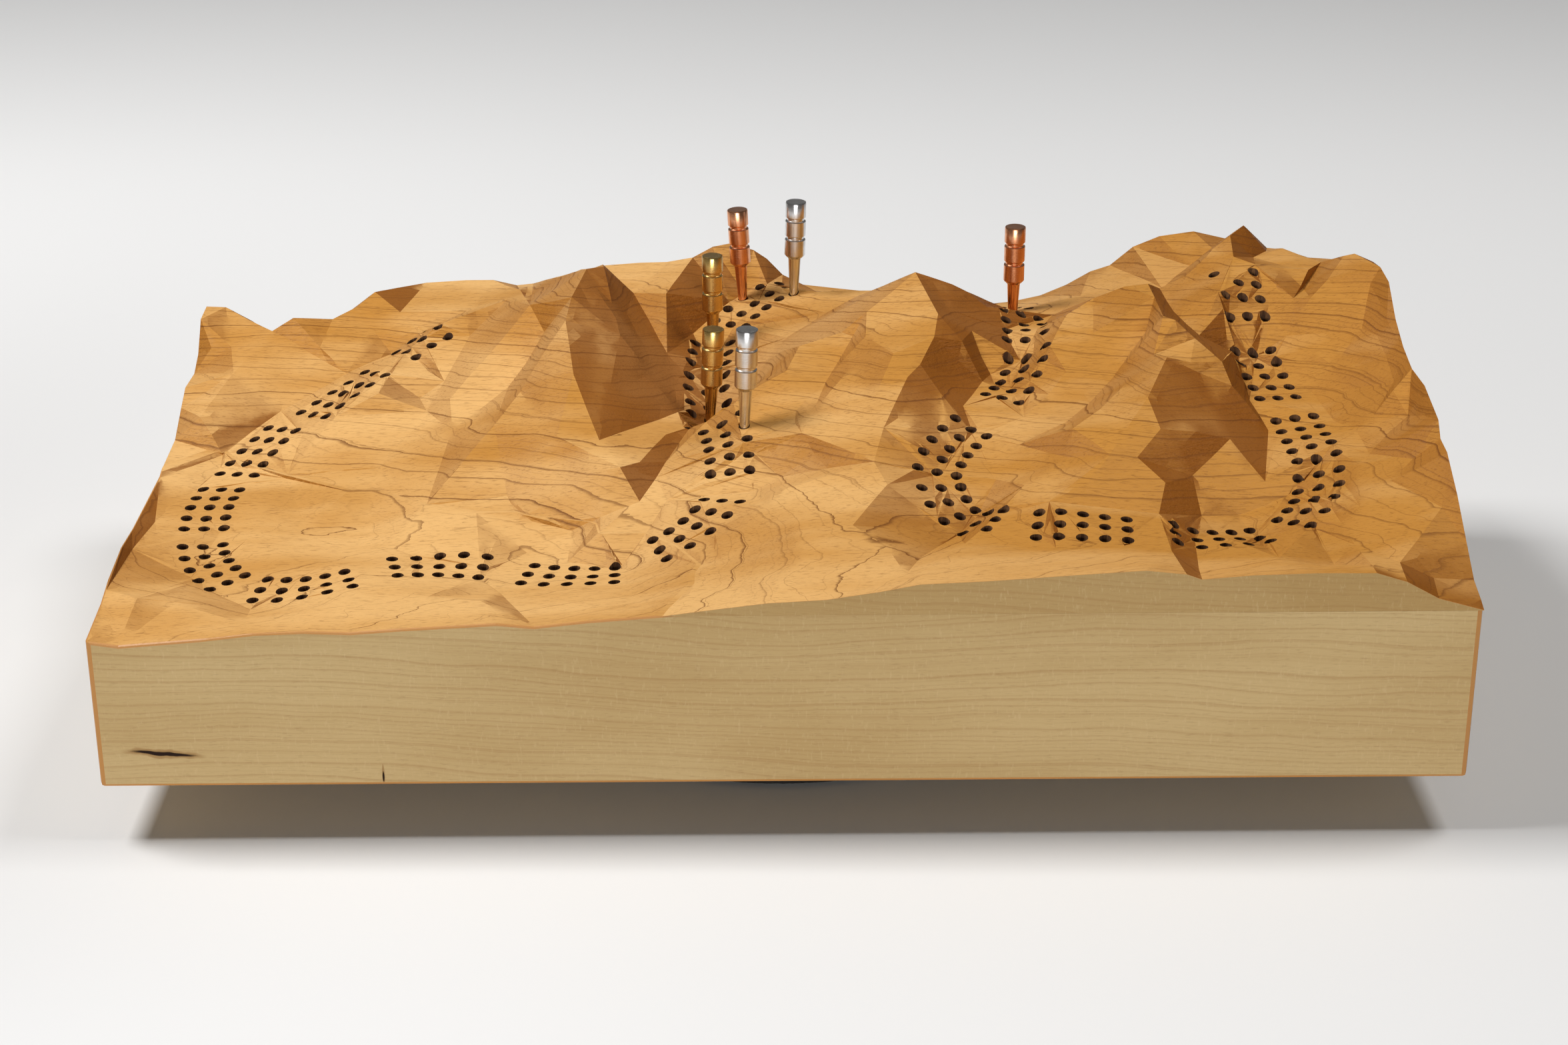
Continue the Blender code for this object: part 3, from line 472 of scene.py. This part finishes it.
def edge_maple(name, look):
    plan = Plan(name)
    patch = plan.rise(plan.noise((30, 30, 60), 3.0, 0.6), 0.35, 0.65)
    tone = plan.mixed(patch * 0.6, look.finish_orange[:], look.amber[:])
    grit = plan.noise((900, 2600, 2600), 2.0, 0.5)
    return plan.surface(
        base_color=tone, roughness=0.42 + grit * 0.1, normal=plan.bump(grit, 0.2, 0.0003))


def hole_wood(name, look):
    plan = Plan(name)
    fuzz = plan.noise((900, 900, 160), 3.0, 0.65)
    # Hole walls painted dark brown for the shade inside the holes, with lighter torn fibres.
    tone = plan.mixed(plan.rise(fuzz, 0.42, 0.72), look.hole_shade_brown[:], look.hole_fuzz[:])
    return plan.surface(
        base_color=tone, roughness=0.75 + fuzz * 0.2, normal=plan.bump(fuzz, 0.5, 0.0006))


def turned_metal(name, bright, dull, rough):
    plan = Plan(name)
    cloud = plan.rise(plan.noise((160, 160, 260), 3.0, 0.6), 0.35, 0.70)
    tone = plan.mixed(cloud * 0.5, bright, dull)
    lathe = plan.noise((500, 500, 9000), 1.0, 0.5)
    wear = plan.noise((1400, 1400, 1400), 2.0, 0.6)
    height = lathe * 0.6 + wear * 0.4
    return plan.surface(
        base_color=tone, metallic=1.0, roughness=rough + cloud * 0.08 + lathe * 0.06,
        normal=plan.bump(height, 0.06, 0.0002))


def pressed_zinc(name):
    plan = Plan(name)
    spangle = plan.rise(plan.noise((420, 420, 420), 2.0, 0.6), 0.35, 0.65)
    tone = plan.mixed(spangle * 0.6, ZINC_BRIGHT, ZINC_DULL)
    grit = plan.noise((3000, 3000, 3000), 1.0, 0.5)
    return plan.surface(
        base_color=tone, metallic=1.0, roughness=0.32 + spangle * 0.12,
        normal=plan.bump(grit, 0.08, 0.0002))


def painted_plywood(name):
    plan = Plan(name)
    grain = plan.noise((60, 700, 700), 3.0, 0.6)
    scuff = plan.rise(plan.noise((45, 45, 45), 4.0, 0.65), 0.58, 0.80)
    tone = plan.mixed(scuff * 0.4, PAINT_BLACK, PAINT_SCUFFED)
    return plan.surface(
        base_color=tone, roughness=0.48 + scuff * 0.15 + grain * 0.06,
        normal=plan.bump(grain, 0.15, 0.0003))


def soft_rubber(name):
    plan = Plan(name)
    dust = plan.rise(plan.noise((260, 260, 260), 3.0, 0.6), 0.45, 0.75)
    tone = plan.mixed(dust * 0.5, RUBBER_BLACK, RUBBER_DUSTY)
    pebble = plan.noise((2500, 2500, 2500), 2.0, 0.5)
    return plan.surface(
        base_color=tone, roughness=0.78 + dust * 0.1, normal=plan.bump(pebble, 0.2, 0.0003))


def clear_choice():
    bpy.ops.object.select_all(action="DESELECT")
    bpy.context.view_layer.objects.active = None


def choose(item):
    clear_choice()
    item.select_set(True)
    bpy.context.view_layer.objects.active = item


def copy_of_node(node, name):
    """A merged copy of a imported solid, as a piece of its own."""
    item = bpy.data.objects.new(name, frame["nodes"][node].data.copy())
    bpy.context.scene.collection.objects.link(item)
    choose(item)
    bpy.ops.object.mode_set(mode="EDIT")
    bpy.ops.mesh.select_all(action="SELECT")
    bpy.ops.mesh.remove_doubles(threshold=MERGE_DISTANCE)
    bpy.ops.object.mode_set(mode="OBJECT")
    item.data.materials.clear()
    return item


def select_faces(item, wanted):
    """Selects the faces that a test picks, seen from object mode."""
    bpy.ops.object.mode_set(mode="EDIT")
    bpy.ops.mesh.select_mode(type="FACE")
    bpy.ops.mesh.select_all(action="DESELECT")
    bpy.ops.object.mode_set(mode="OBJECT")
    found = 0
    for face in item.data.polygons:
        face.select = bool(wanted(face))
        found += face.select
    return found


def pick_edges(item, wanted):
    """Selects edges in edge mode, and leaves the item in edit mode."""
    bpy.ops.object.mode_set(mode="EDIT")
    bpy.ops.mesh.select_mode(type="EDGE")
    bpy.ops.mesh.select_all(action="DESELECT")
    bpy.ops.object.mode_set(mode="OBJECT")
    for edge in item.data.edges:
        edge.select = wanted(edge)
    bpy.ops.object.mode_set(mode="EDIT")


def on_block_side(point):
    return (
        abs(abs(point.x) - block_high.x) < WALL_TOLERANCE
        or abs(abs(point.y) - block_high.y) < WALL_TOLERANCE
    )


def is_hole_wall(face, middle):
    return abs(face.normal.z) < UPRIGHT and not on_block_side(middle)


def joined_groups(faces):
    """The faces as groups that hang together over shared edges."""
    left = dict.fromkeys(faces)
    groups = []
    for first in list(left):
        if first not in left:
            continue
        del left[first]
        group = [first]
        for face in group:
            for edge in face.edges:
                for near in edge.link_faces:
                    if near in left:
                        del left[near]
                        group.append(near)
        groups.append(group)
    return groups


def is_floor(group):
    around = {near for face in group for edge in face.edges for near in edge.link_faces}
    return all(is_hole_wall(near, near.calc_center_median()) for near in around - set(group))


def drilled_ends(items, hole_width):
    """Middle of every blind hole's floor and the way it faces, in all the planks."""
    ends = []
    shafts = []
    for item in items:
        bm = bmesh.new()
        bm.from_mesh(item.data)
        for up in (1, -1):
            level = [face for face in bm.faces if face.normal.z * up > DEAD_LEVEL]
            for group in joined_groups(level):
                area = sum(face.calc_area() for face in group)
                if area < FLOOR_AREA * hole_width ** 2 and is_floor(group):
                    middle = sum(
                        (face.calc_center_median() * face.calc_area() for face in group), Vector())
                    ends.append((middle / area, up))
        walls = [face for face in bm.faces if is_hole_wall(face, face.calc_center_median())]
        for group in joined_groups(walls):
            corners = {tuple(vert.co) for face in group for vert in face.verts}
            low = min(z for _, _, z in corners)
            foot = [Vector(corner) for corner in corners if corner[2] < low + WALL_TOLERANCE]
            shafts.append(sum(foot, Vector()) / len(foot))
        bm.free()
    for foot in shafts:
        if all((foot.xy - middle.xy).length > SAME_HOLE * hole_width for middle, _ in ends):
            ends.append((foot, 1))
    return ends


def fill_holes_flat(item):
    """Takes the drilled walls and floors away and closes the surface over them."""
    walls = select_faces(item, lambda face: is_hole_wall(face, face.center))
    bpy.ops.object.mode_set(mode="EDIT")
    if walls:
        bpy.ops.mesh.delete(type="FACE")
    bpy.ops.object.mode_set(mode="OBJECT")
    bm = bmesh.new()
    bm.from_mesh(item.data)
    islands = joined_groups(bm.faces)
    islands.sort(key=len)
    floors = [face for group in islands[:-1] for face in group]
    bmesh.ops.delete(bm, geom=floors, context="FACES")
    bm.to_mesh(item.data)
    bm.free()
    bpy.ops.object.mode_set(mode="EDIT")
    bpy.ops.mesh.select_mode(type="EDGE")
    bpy.ops.mesh.select_all(action="DESELECT")
    bpy.ops.mesh.select_non_manifold()
    bpy.ops.mesh.fill_holes(sides=0)
    bpy.ops.mesh.select_all(action="SELECT")
    bpy.ops.mesh.dissolve_limited(angle_limit=FLAT_ENOUGH, delimit=set())
    bpy.ops.mesh.select_all(action="SELECT")
    bpy.ops.mesh.remove_doubles(threshold=SHORT_EDGE)
    bpy.ops.mesh.normals_make_consistent(inside=False)
    bpy.ops.object.mode_set(mode="OBJECT")


def weigh_edges(item, sizes):
    """Bevel weight of the upright corners, the lower edges and the carved rim."""
    bm = bmesh.new()
    bm.from_mesh(item.data)
    layer = bm.edges.layers.float.new("bevel_weight_edge")
    for edge in bm.edges:
        upright = sum(abs(face.normal.z) < UPRIGHT for face in edge.link_faces)
        carved = any(face.material_index == CARVED for face in edge.link_faces)
        low = max(vert.co.z for vert in edge.verts) < block_low.z + WALL_TOLERANCE
        if upright == 2 and edge.calc_face_angle() > SHARP_CORNER:
            edge[layer] = 1.0
        elif upright == 1 and low:
            edge[layer] = sizes.foot_edge_width / sizes.corner_width
        elif upright == 1 and carved:
            edge[layer] = sizes.rim_width / sizes.corner_width
    bm.to_mesh(item.data)
    bm.free()


def finish_modifier(item, modifier):
    choose(item)
    bpy.ops.object.modifier_apply(modifier=modifier.name)


def round_edges(item, sizes):
    weigh_edges(item, sizes)
    bevel = item.modifiers.new("rounding", "BEVEL")
    bevel.limit_method = "WEIGHT"
    bevel.width = sizes.corner_width
    bevel.segments = 2
    bevel.use_clamp_overlap = True
    bevel.material = OILED
    finish_modifier(item, bevel)


def refine_ground(item, longest):
    """Splits the long edges of the carved ground, round by round, and mends what opens."""
    for _ in range(REFINE_ROUNDS):
        select_faces(item, lambda face: face.material_index == CARVED)
        bpy.ops.object.mode_set(mode="EDIT")
        bpy.ops.mesh.quads_convert_to_tris(quad_method="SHORTEST_DIAGONAL", ngon_method="CLIP")
        bpy.ops.object.mode_set(mode="OBJECT")
        points = item.data.vertices
        ground = {
            key for face in item.data.polygons if face.material_index == CARVED
            for key in face.edge_keys
        }
        pick_edges(item, lambda edge: edge.key in ground and (
            points[edge.vertices[0]].co - points[edge.vertices[1]].co).length > longest)
        bpy.ops.mesh.subdivide(number_cuts=1)
        bpy.ops.mesh.select_all(action="SELECT")
        bpy.ops.mesh.dissolve_degenerate(threshold=DEGENERATE)
        bpy.ops.mesh.delete_loose(use_verts=True, use_edges=True, use_faces=False)
        bpy.ops.mesh.select_all(action="DESELECT")
        bpy.ops.mesh.select_non_manifold()
        bpy.ops.mesh.delete(type="EDGE")
        bpy.ops.mesh.select_non_manifold()
        bpy.ops.mesh.fill_holes(sides=0)
        bpy.ops.object.mode_set(mode="OBJECT")


def ground_corners(item):
    """Corners that only faces of the carved ground touch."""
    touching = {}
    for face in item.data.polygons:
        for corner in face.vertices:
            touching.setdefault(corner, set()).add(face.material_index)
    return {corner for corner, slots in touching.items() if slots == {CARVED}}


def glue_height(item):
    """The height under which a plank's carved ground may not sink."""
    return block_low.z if item.name.endswith("lower_plank") else upper_low.z


def cut_small_facets(item, sizes):
    """Moves the coarse mesh's corners up and down, most on the slopes, so that facets appear."""
    refine_ground(item, sizes.small_facet)
    floor = glue_height(item) + HAIR
    for corner in ground_corners(item):
        point = item.data.vertices[corner]
        steep = min(1, FLAT_SHARE + SLOPE_SHARE * (1 - point.normal.z))
        step = noise.noise(point.co * FACET_PITCH) * steep * sizes.facet_depth
        point.co.z = max(floor, point.co.z + step)


def crease_corners(item, crease_angle):
    """Corners of the carved ground that lie on a crease or at its border."""
    bm = bmesh.new()
    bm.from_mesh(item.data)
    found = {
        vert.index for edge in bm.edges for vert in edge.verts
        if len(edge.link_faces) != 2 or edge.calc_face_angle() > crease_angle
    }
    bm.free()
    return found


def roll_ground(item, sizes):
    """Lets flat neighbours roll into each other, and makes the ground a little uneven."""
    ground = ground_corners(item)
    creases = crease_corners(item, sizes.crease_angle)
    for chosen, factor, rounds in (
            (ground - creases, ROLL_SHARE, sizes.ground_roll),
            (ground, sizes.crease_blunting, 1)):
        pick_edges(item, lambda edge: False)
        bpy.ops.mesh.select_mode(type="VERT")
        bpy.ops.object.mode_set(mode="OBJECT")
        for point in item.data.vertices:
            point.select = point.index in chosen
        bpy.ops.object.mode_set(mode="EDIT")
        bpy.ops.mesh.vertices_smooth(
            factor=factor, repeat=rounds, xaxis=False, yaxis=False, zaxis=True)
        bpy.ops.object.mode_set(mode="OBJECT")
    floor = glue_height(item) + HAIR
    for corner in ground:
        point = item.data.vertices[corner]
        wave = sum(share * noise.noise(point.co * pitch) for pitch, share in WAVES)
        point.co.z = max(floor, point.co.z + wave * sizes.ground_unevenness)


def close_glue_line(item):
    """Lifts the lower plank's glued face until it all but meets the upper plank."""
    lift = upper_low.z - block_high.z - HAIR
    for point in item.data.vertices:
        if abs(point.co.z - block_high.z) < MERGE_DISTANCE:
            point.co.z += lift


def drill_tool(ends, radius, sides):
    """Round cutters for all holes: peg holes from their floors up, screw holes from below."""
    clear_choice()
    bpy.ops.mesh.primitive_plane_add(size=HAIR)
    tool = bpy.context.object
    bpy.ops.object.mode_set(mode="EDIT")
    bpy.ops.mesh.delete(type="VERT")
    for middle, up in ends:
        if up > 0:
            low, top = middle.z, upper_high.z + OVERRUN
        else:
            low, top = block_low.z - OVERRUN, middle.z
        bpy.ops.mesh.primitive_cylinder_add(
            vertices=sides, radius=radius, depth=top - low,
            location=(*middle.xy, (top + low) / 2))
    bpy.ops.object.mode_set(mode="OBJECT")
    return tool


def volume_of(item):
    bm = bmesh.new()
    bm.from_mesh(item.data)
    volume = bm.calc_volume()
    bm.free()
    return volume


def drill(item, tool):
    """Cuts the holes, and stops the script if the boolean took too much wood or none."""
    before = volume_of(item)
    cut = item.modifiers.new("drilling", "BOOLEAN")
    cut.operation = "DIFFERENCE"
    cut.solver = "EXACT"
    cut.material_mode = "TRANSFER"
    cut.object = tool
    finish_modifier(item, cut)
    if not LEAST_WOOD_LEFT * before < volume_of(item) < before:
        raise RuntimeError(f"drilling took the wrong amount of wood from {item.name}")


def paint_block(item, materials):
    """Gives every face its slot: carved top, or planed side, underside and glued face."""
    for material in materials:
        item.data.materials.append(material)
    for face in item.data.polygons:
        middle = face.center
        upright = abs(face.normal.z) < UPRIGHT
        bottom = face.normal.z < -LEVEL and middle.z < block_low.z + WALL_TOLERANCE
        glued = abs(face.normal.z) > LEVEL and abs(middle.z - upper_low.z) < WALL_TOLERANCE
        if bottom or glued or (upright and on_block_side(middle)):
            face.material_index = PLANED
        else:
            face.material_index = CARVED


def paint_glued_face(block):
    """Gives the planed face that looks up, under the glue line, the carved wood's slot."""
    for face in block.data.polygons:
        if face.material_index == PLANED and face.normal.z > LOOKS_UP:
            face.material_index = CARVED


def smooth_below(item, angle):
    choose(item)
    bpy.ops.object.shade_smooth_by_angle(angle=angle)


def settle(item):
    """Applies the item's place and turn to its mesh."""
    choose(item)
    bpy.ops.object.transform_apply(location=True, rotation=True, scale=True)


class CRIBBAGE_OT_carve_planks(Operator):
    """Carve the two maple planks with small facets, soft corners and round peg holes"""

    bl_idname = "cribbage.carve_planks"
    bl_label = "Carve planks"

    def execute(self, context):
        sizes = context.scene.board_sizes
        look = context.scene.wood_look
        hole = hole_wood("hole wood", look)
        edge = edge_maple("oiled edge", look)
        blocks = {node: copy_of_node(node, f"carved_{node}") for node in PLANK_GRAINS}
        ends = drilled_ends(blocks.values(), sizes.hole_width)
        tool = drill_tool(ends, sizes.hole_width / 2, sizes.hole_sides)
        tool.data.materials.append(hole)
        for node, (shift, bow, lean, shade) in PLANK_GRAINS.items():
            block = blocks[node]
            choose(block)
            fill_holes_flat(block)
            if node == "lower_plank":
                close_glue_line(block)
            materials = [
                carved_maple(f"carved {node}", look, shift, bow, lean),
                planed_maple(f"planed {node}", look, shift, bow, lean, shade),
                edge,
                hole,
            ]
            paint_block(block, materials)
            round_edges(block, sizes)
            choose(block)
            cut_small_facets(block, sizes)
            refine_ground(block, sizes.ground_mesh)
            roll_ground(block, sizes)
            choose(block)
            drill(block, tool)
            paint_glued_face(block)
            self.soften(block)
            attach(block, "board")
            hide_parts(node)
        bpy.data.objects.remove(tool, do_unlink=True)
        return {"FINISHED"}

    def soften(self, block):
        """Smooth shading over the roundings that leaves every facet flat."""
        smooth_below(block, SMOOTH_WOOD)
        weigh = block.modifiers.new("flat facets", "WEIGHTED_NORMAL")
        weigh.mode = "FACE_AREA"
        weigh.weight = 90
        weigh.keep_sharp = True
        finish_modifier(block, weigh)


def peg_line(node):
    """Foot, axis and length of a peg, from its solid."""
    joint = next(j for j in frame["joints"] if j["child"] == node.replace("_peg", ""))
    axis = Vector(joint["axis"]).normalized()
    points = [vert.co for vert in frame["nodes"][node].data.vertices]
    unique = {tuple(round(value, 6) for value in point) for point in points}
    middle = sum((Vector(point) for point in unique), Vector()) / len(unique)
    along = [(point - middle).dot(axis) for point in points]
    return middle + axis * min(along), axis, max(along) - min(along)


def turned_piece(name, outline, sides):
    """A turned body about +Z, drawn up ring by ring from (radius, height) points."""
    clear_choice()
    first_radius, first_height = outline[0]
    bpy.ops.mesh.primitive_circle_add(
        vertices=sides, radius=first_radius, fill_type="NGON", location=(0, 0, first_height))
    item = bpy.context.object
    item.name = name
    bpy.ops.object.transform_apply(location=True, rotation=False, scale=False)
    bpy.ops.object.mode_set(mode="EDIT")
    bpy.ops.mesh.select_all(action="SELECT")
    bpy.ops.mesh.normals_make_consistent(inside=False)
    for (radius, height), (wide, high) in zip(outline, outline[1:]):
        bpy.ops.mesh.extrude_region_move(
            TRANSFORM_OT_translate={"value": (0, 0, high - height)})
        ratio = wide / radius
        bpy.ops.transform.resize(value=(ratio, ratio, 1), center_override=(0, 0, high))
    bpy.ops.mesh.select_all(action="SELECT")
    bpy.ops.mesh.normals_make_consistent(inside=False)
    bpy.ops.object.mode_set(mode="OBJECT")
    return item


def rounding(radius, height, profile, way=1):
    """Outline points inside a radius, above a height or, with way -1, under it."""
    return [(radius - inset, height + way * rise) for inset, rise in profile]


class CRIBBAGE_OT_turn_pegs(Operator):
    """Turn the six metal pegs, each in its own hole"""

    bl_idname = "cribbage.turn_pegs"
    bl_label = "Turn pegs"

    def execute(self, context):
        sizes = context.scene.board_sizes
        metals = {metal: turned_metal(*finish) for metal, finish in METALS.items()}
        for node, metal in PEG_METALS.items():
            foot, axis, length = peg_line(node)
            peg = turned_piece(f"turned_{node}", self.outline(length), sizes.peg_sides)
            self.lean(peg, foot, axis)
            peg.data.materials.append(metals[metal])
            smooth_below(peg, SMOOTH_METAL)
            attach(peg, node.replace("_peg", ""))
            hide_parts(node)
        return {"FINISHED"}

    def outline(self, length):
        """Points of the peg from its tip to the middle of its crown."""
        radius = PEG_HEAD_RADIUS
        low = length - PEG_HEAD_LENGTH
        points = [*PEG_TIP]
        points += [(wide, low - drop) for wide, drop in PEG_NECK]
        points += rounding(radius, low, HEAD_FOOT)
        for share in GROOVE_PLACES:
            middle = low + share * PEG_HEAD_LENGTH
            points += rounding(radius, middle, reversed(GROOVE), -1)
            points += rounding(radius, middle, GROOVE)
        points += rounding(radius, length, reversed(HEAD_TOP), -1)
        points.append((radius * PEG_CROWN_SHARE, length))
        return points

    def lean(self, peg, foot, axis):
        """Moves the upright peg's mesh onto its leaning axis."""
        turn = Vector((0, 0, 1)).rotation_difference(axis).to_matrix().to_4x4()
        peg.matrix_world = Matrix.Translation(foot) @ turn
        settle(peg)


class CRIBBAGE_OT_fit_base(Operator):
    """Turn the round base and its rubber pads, and finish the bearing between them"""

    bl_idname = "cribbage.fit_base"
    bl_label = "Fit base"

    def execute(self, context):
        sizes = context.scene.board_sizes
        black = painted_plywood("black paint")
        rubber = soft_rubber("soft rubber")
        zinc = pressed_zinc("pressed zinc")
        low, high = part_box("round_base")
        base = turned_piece("turned_round_base", [
            *rounding(high.x, low.z, BASE_RIM),
            *rounding(high.x, high.z, reversed(BASE_RIM), -1),
        ], sizes.base_sides)
        self.fit(base, black, "round_base", "black_paint", (0, 0, 0))
        for name in [n for n in frame["nodes"] if n.startswith("rubber_pad")]:
            low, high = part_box(name)
            middle = (low + high) / 2
            radius = (high.x - low.x) / 2
            pad = turned_piece(
                f"soft_{name}", [*rounding(radius, low.z, PAD_RIM), (radius, high.z)],
                sizes.small_sides)
            self.fit(pad, rubber, name, "rubber", (middle.x, middle.y, 0))
        for name, node in frame["nodes"].items():
            if any(part in name for part in ("bearing_ball", "bearing_plate", "_screw_")):
                node.data.materials.clear()
                node.data.materials.append(zinc)
        return {"FINISHED"}

    def fit(self, item, material, node, slot, place):
        item.location = place
        settle(item)
        smooth_below(item, SMOOTH_BASE)
        item.data.materials.append(material)
        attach(item, "base")
        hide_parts(node)


class CRIBBAGE_OT_set_stage(Operator):
    """Set the pale floor, the soft lamps and the camera"""

    bl_idname = "cribbage.set_stage"
    bl_label = "Set stage"

    def execute(self, context):
        look = context.scene.stage_look
        self.lay_floor()
        self.hang_lamps()
        self.light_room(context.scene)
        self.place_camera(context.scene, look)
        context.scene.view_settings.view_transform = "Standard"
        return {"FINISHED"}

    def lay_floor(self):
        """A sheet that lies flat under the board and sweeps up behind it."""
        clear_choice()
        bpy.ops.mesh.primitive_plane_add(size=1.0)
        floor = bpy.context.object
        floor.name = "pale_floor"
        bpy.ops.object.mode_set(mode="EDIT")
        bpy.ops.mesh.select_all(action="SELECT")
        bpy.ops.transform.resize(value=FLOOR_SIZE)
        bpy.ops.mesh.select_all(action="DESELECT")
        bpy.ops.object.mode_set(mode="OBJECT")
        for edge in floor.data.edges:
            edge.select = all(floor.data.vertices[i].co.y > 0 for i in edge.vertices)
        bpy.ops.object.mode_set(mode="EDIT")
        bpy.ops.mesh.select_mode(type="EDGE")
        for step in range(1, SWEEP_STEPS + 1):
            angle = math.radians(90 * step / SWEEP_STEPS)
            bpy.ops.mesh.extrude_region_move(TRANSFORM_OT_translate={
                "value": (0, SWEEP_STEP * math.cos(angle), SWEEP_STEP * math.sin(angle))})
        bpy.ops.mesh.extrude_region_move(TRANSFORM_OT_translate={"value": (0, 0, WALL_HEIGHT)})
        bpy.ops.object.mode_set(mode="OBJECT")
        bpy.ops.object.shade_smooth()
        plan = Plan("pale paper")
        place = dict(zip("xyz", plan.split(plan.place)))
        tone = plan.mixed(plan.noise((3, 3, 3), 2.0, 0.5), PAPER_LIGHT, PAPER_DARK)
        # Painted light and shade: the paper's tone changes across the floor.
        for axis, start, end, tint in PAINTED_FLOOR_LIGHT:
            tone = plan.mixed(plan.rise(place[axis], start, end), tone, tint)
        floor.data.materials.append(plan.surface(base_color=tone, roughness=0.9))

    def hang_lamps(self):
        for name, place, aim, size, power in LAMPS:
            data = bpy.data.lights.new(name, "AREA")
            data.shape = "RECTANGLE"
            data.size, data.size_y = size
            data.energy = power
            lamp = bpy.data.objects.new(name, data)
            bpy.context.scene.collection.objects.link(lamp)
            lamp.location = place
            lamp.rotation_euler = (Vector(aim) - Vector(place)).to_track_quat("-Z", "Y").to_euler()

    def light_room(self, scene):
        world = bpy.data.worlds.new("pale room")
        scene.world = world
        world.use_nodes = True
        tree = world.node_tree
        tree.nodes.clear()
        plain = tree.nodes.new("ShaderNodeBackground")
        plain.inputs["Color"].default_value = ROOM_COLOUR
        plain.inputs["Strength"].default_value = ROOM_STRENGTH
        output = tree.nodes.new("ShaderNodeOutputWorld")
        tree.links.new(plain.outputs[0], output.inputs[0])

    def place_camera(self, scene, look):
        data = bpy.data.cameras.new("camera")
        data.lens = look.lens
        data.sensor_width = SENSOR_WIDTH
        data.sensor_fit = "HORIZONTAL"
        data.clip_start = 0.01
        data.clip_end = 50.0
        camera = bpy.data.objects.new("camera", data)
        scene.collection.objects.link(camera)
        level = Euler((math.pi / 2 - look.pitch, 0, -look.yaw)).to_matrix().to_4x4()
        camera.matrix_world = (
            Matrix.Translation(look.camera_place) @ level @ Matrix.Rotation(look.roll, 4, "Z"))
        scene.camera = camera


class CRIBBAGE_PT_board(Panel):
    bl_label = "Carved cribbage board"
    bl_space_type = "VIEW_3D"
    bl_region_type = "UI"
    bl_category = "Cribbage"

    def draw(self, context):
        layout = self.layout
        for name in GROUPS:
            group = getattr(context.scene, name)
            box = layout.box()
            for setting in group.bl_rna.properties.keys():
                if setting not in ("rna_type", "name"):
                    box.prop(group, setting)
        for operator in STEPS:
            layout.operator(operator.bl_idname)


STEPS = (
    CRIBBAGE_OT_carve_planks,
    CRIBBAGE_OT_turn_pegs,
    CRIBBAGE_OT_fit_base,
    CRIBBAGE_OT_set_stage,
)
GROUPS = {"board_sizes": BoardSizes, "wood_look": WoodLook, "stage_look": StageLook}


def register():
    for item in (*GROUPS.values(), *STEPS, CRIBBAGE_PT_board):
        bpy.utils.register_class(item)
    for name, group in GROUPS.items():
        setattr(bpy.types.Scene, name, PointerProperty(type=group))


def unregister():
    for name in GROUPS:
        delattr(bpy.types.Scene, name)
    for item in (CRIBBAGE_PT_board, *STEPS, *GROUPS.values()):
        bpy.utils.unregister_class(item)


def main():
    register()
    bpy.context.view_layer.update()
    bpy.ops.cribbage.carve_planks()
    bpy.ops.cribbage.turn_pegs()
    bpy.ops.cribbage.fit_base()
    bpy.ops.cribbage.set_stage()


if __name__ == "__main__":
    main()
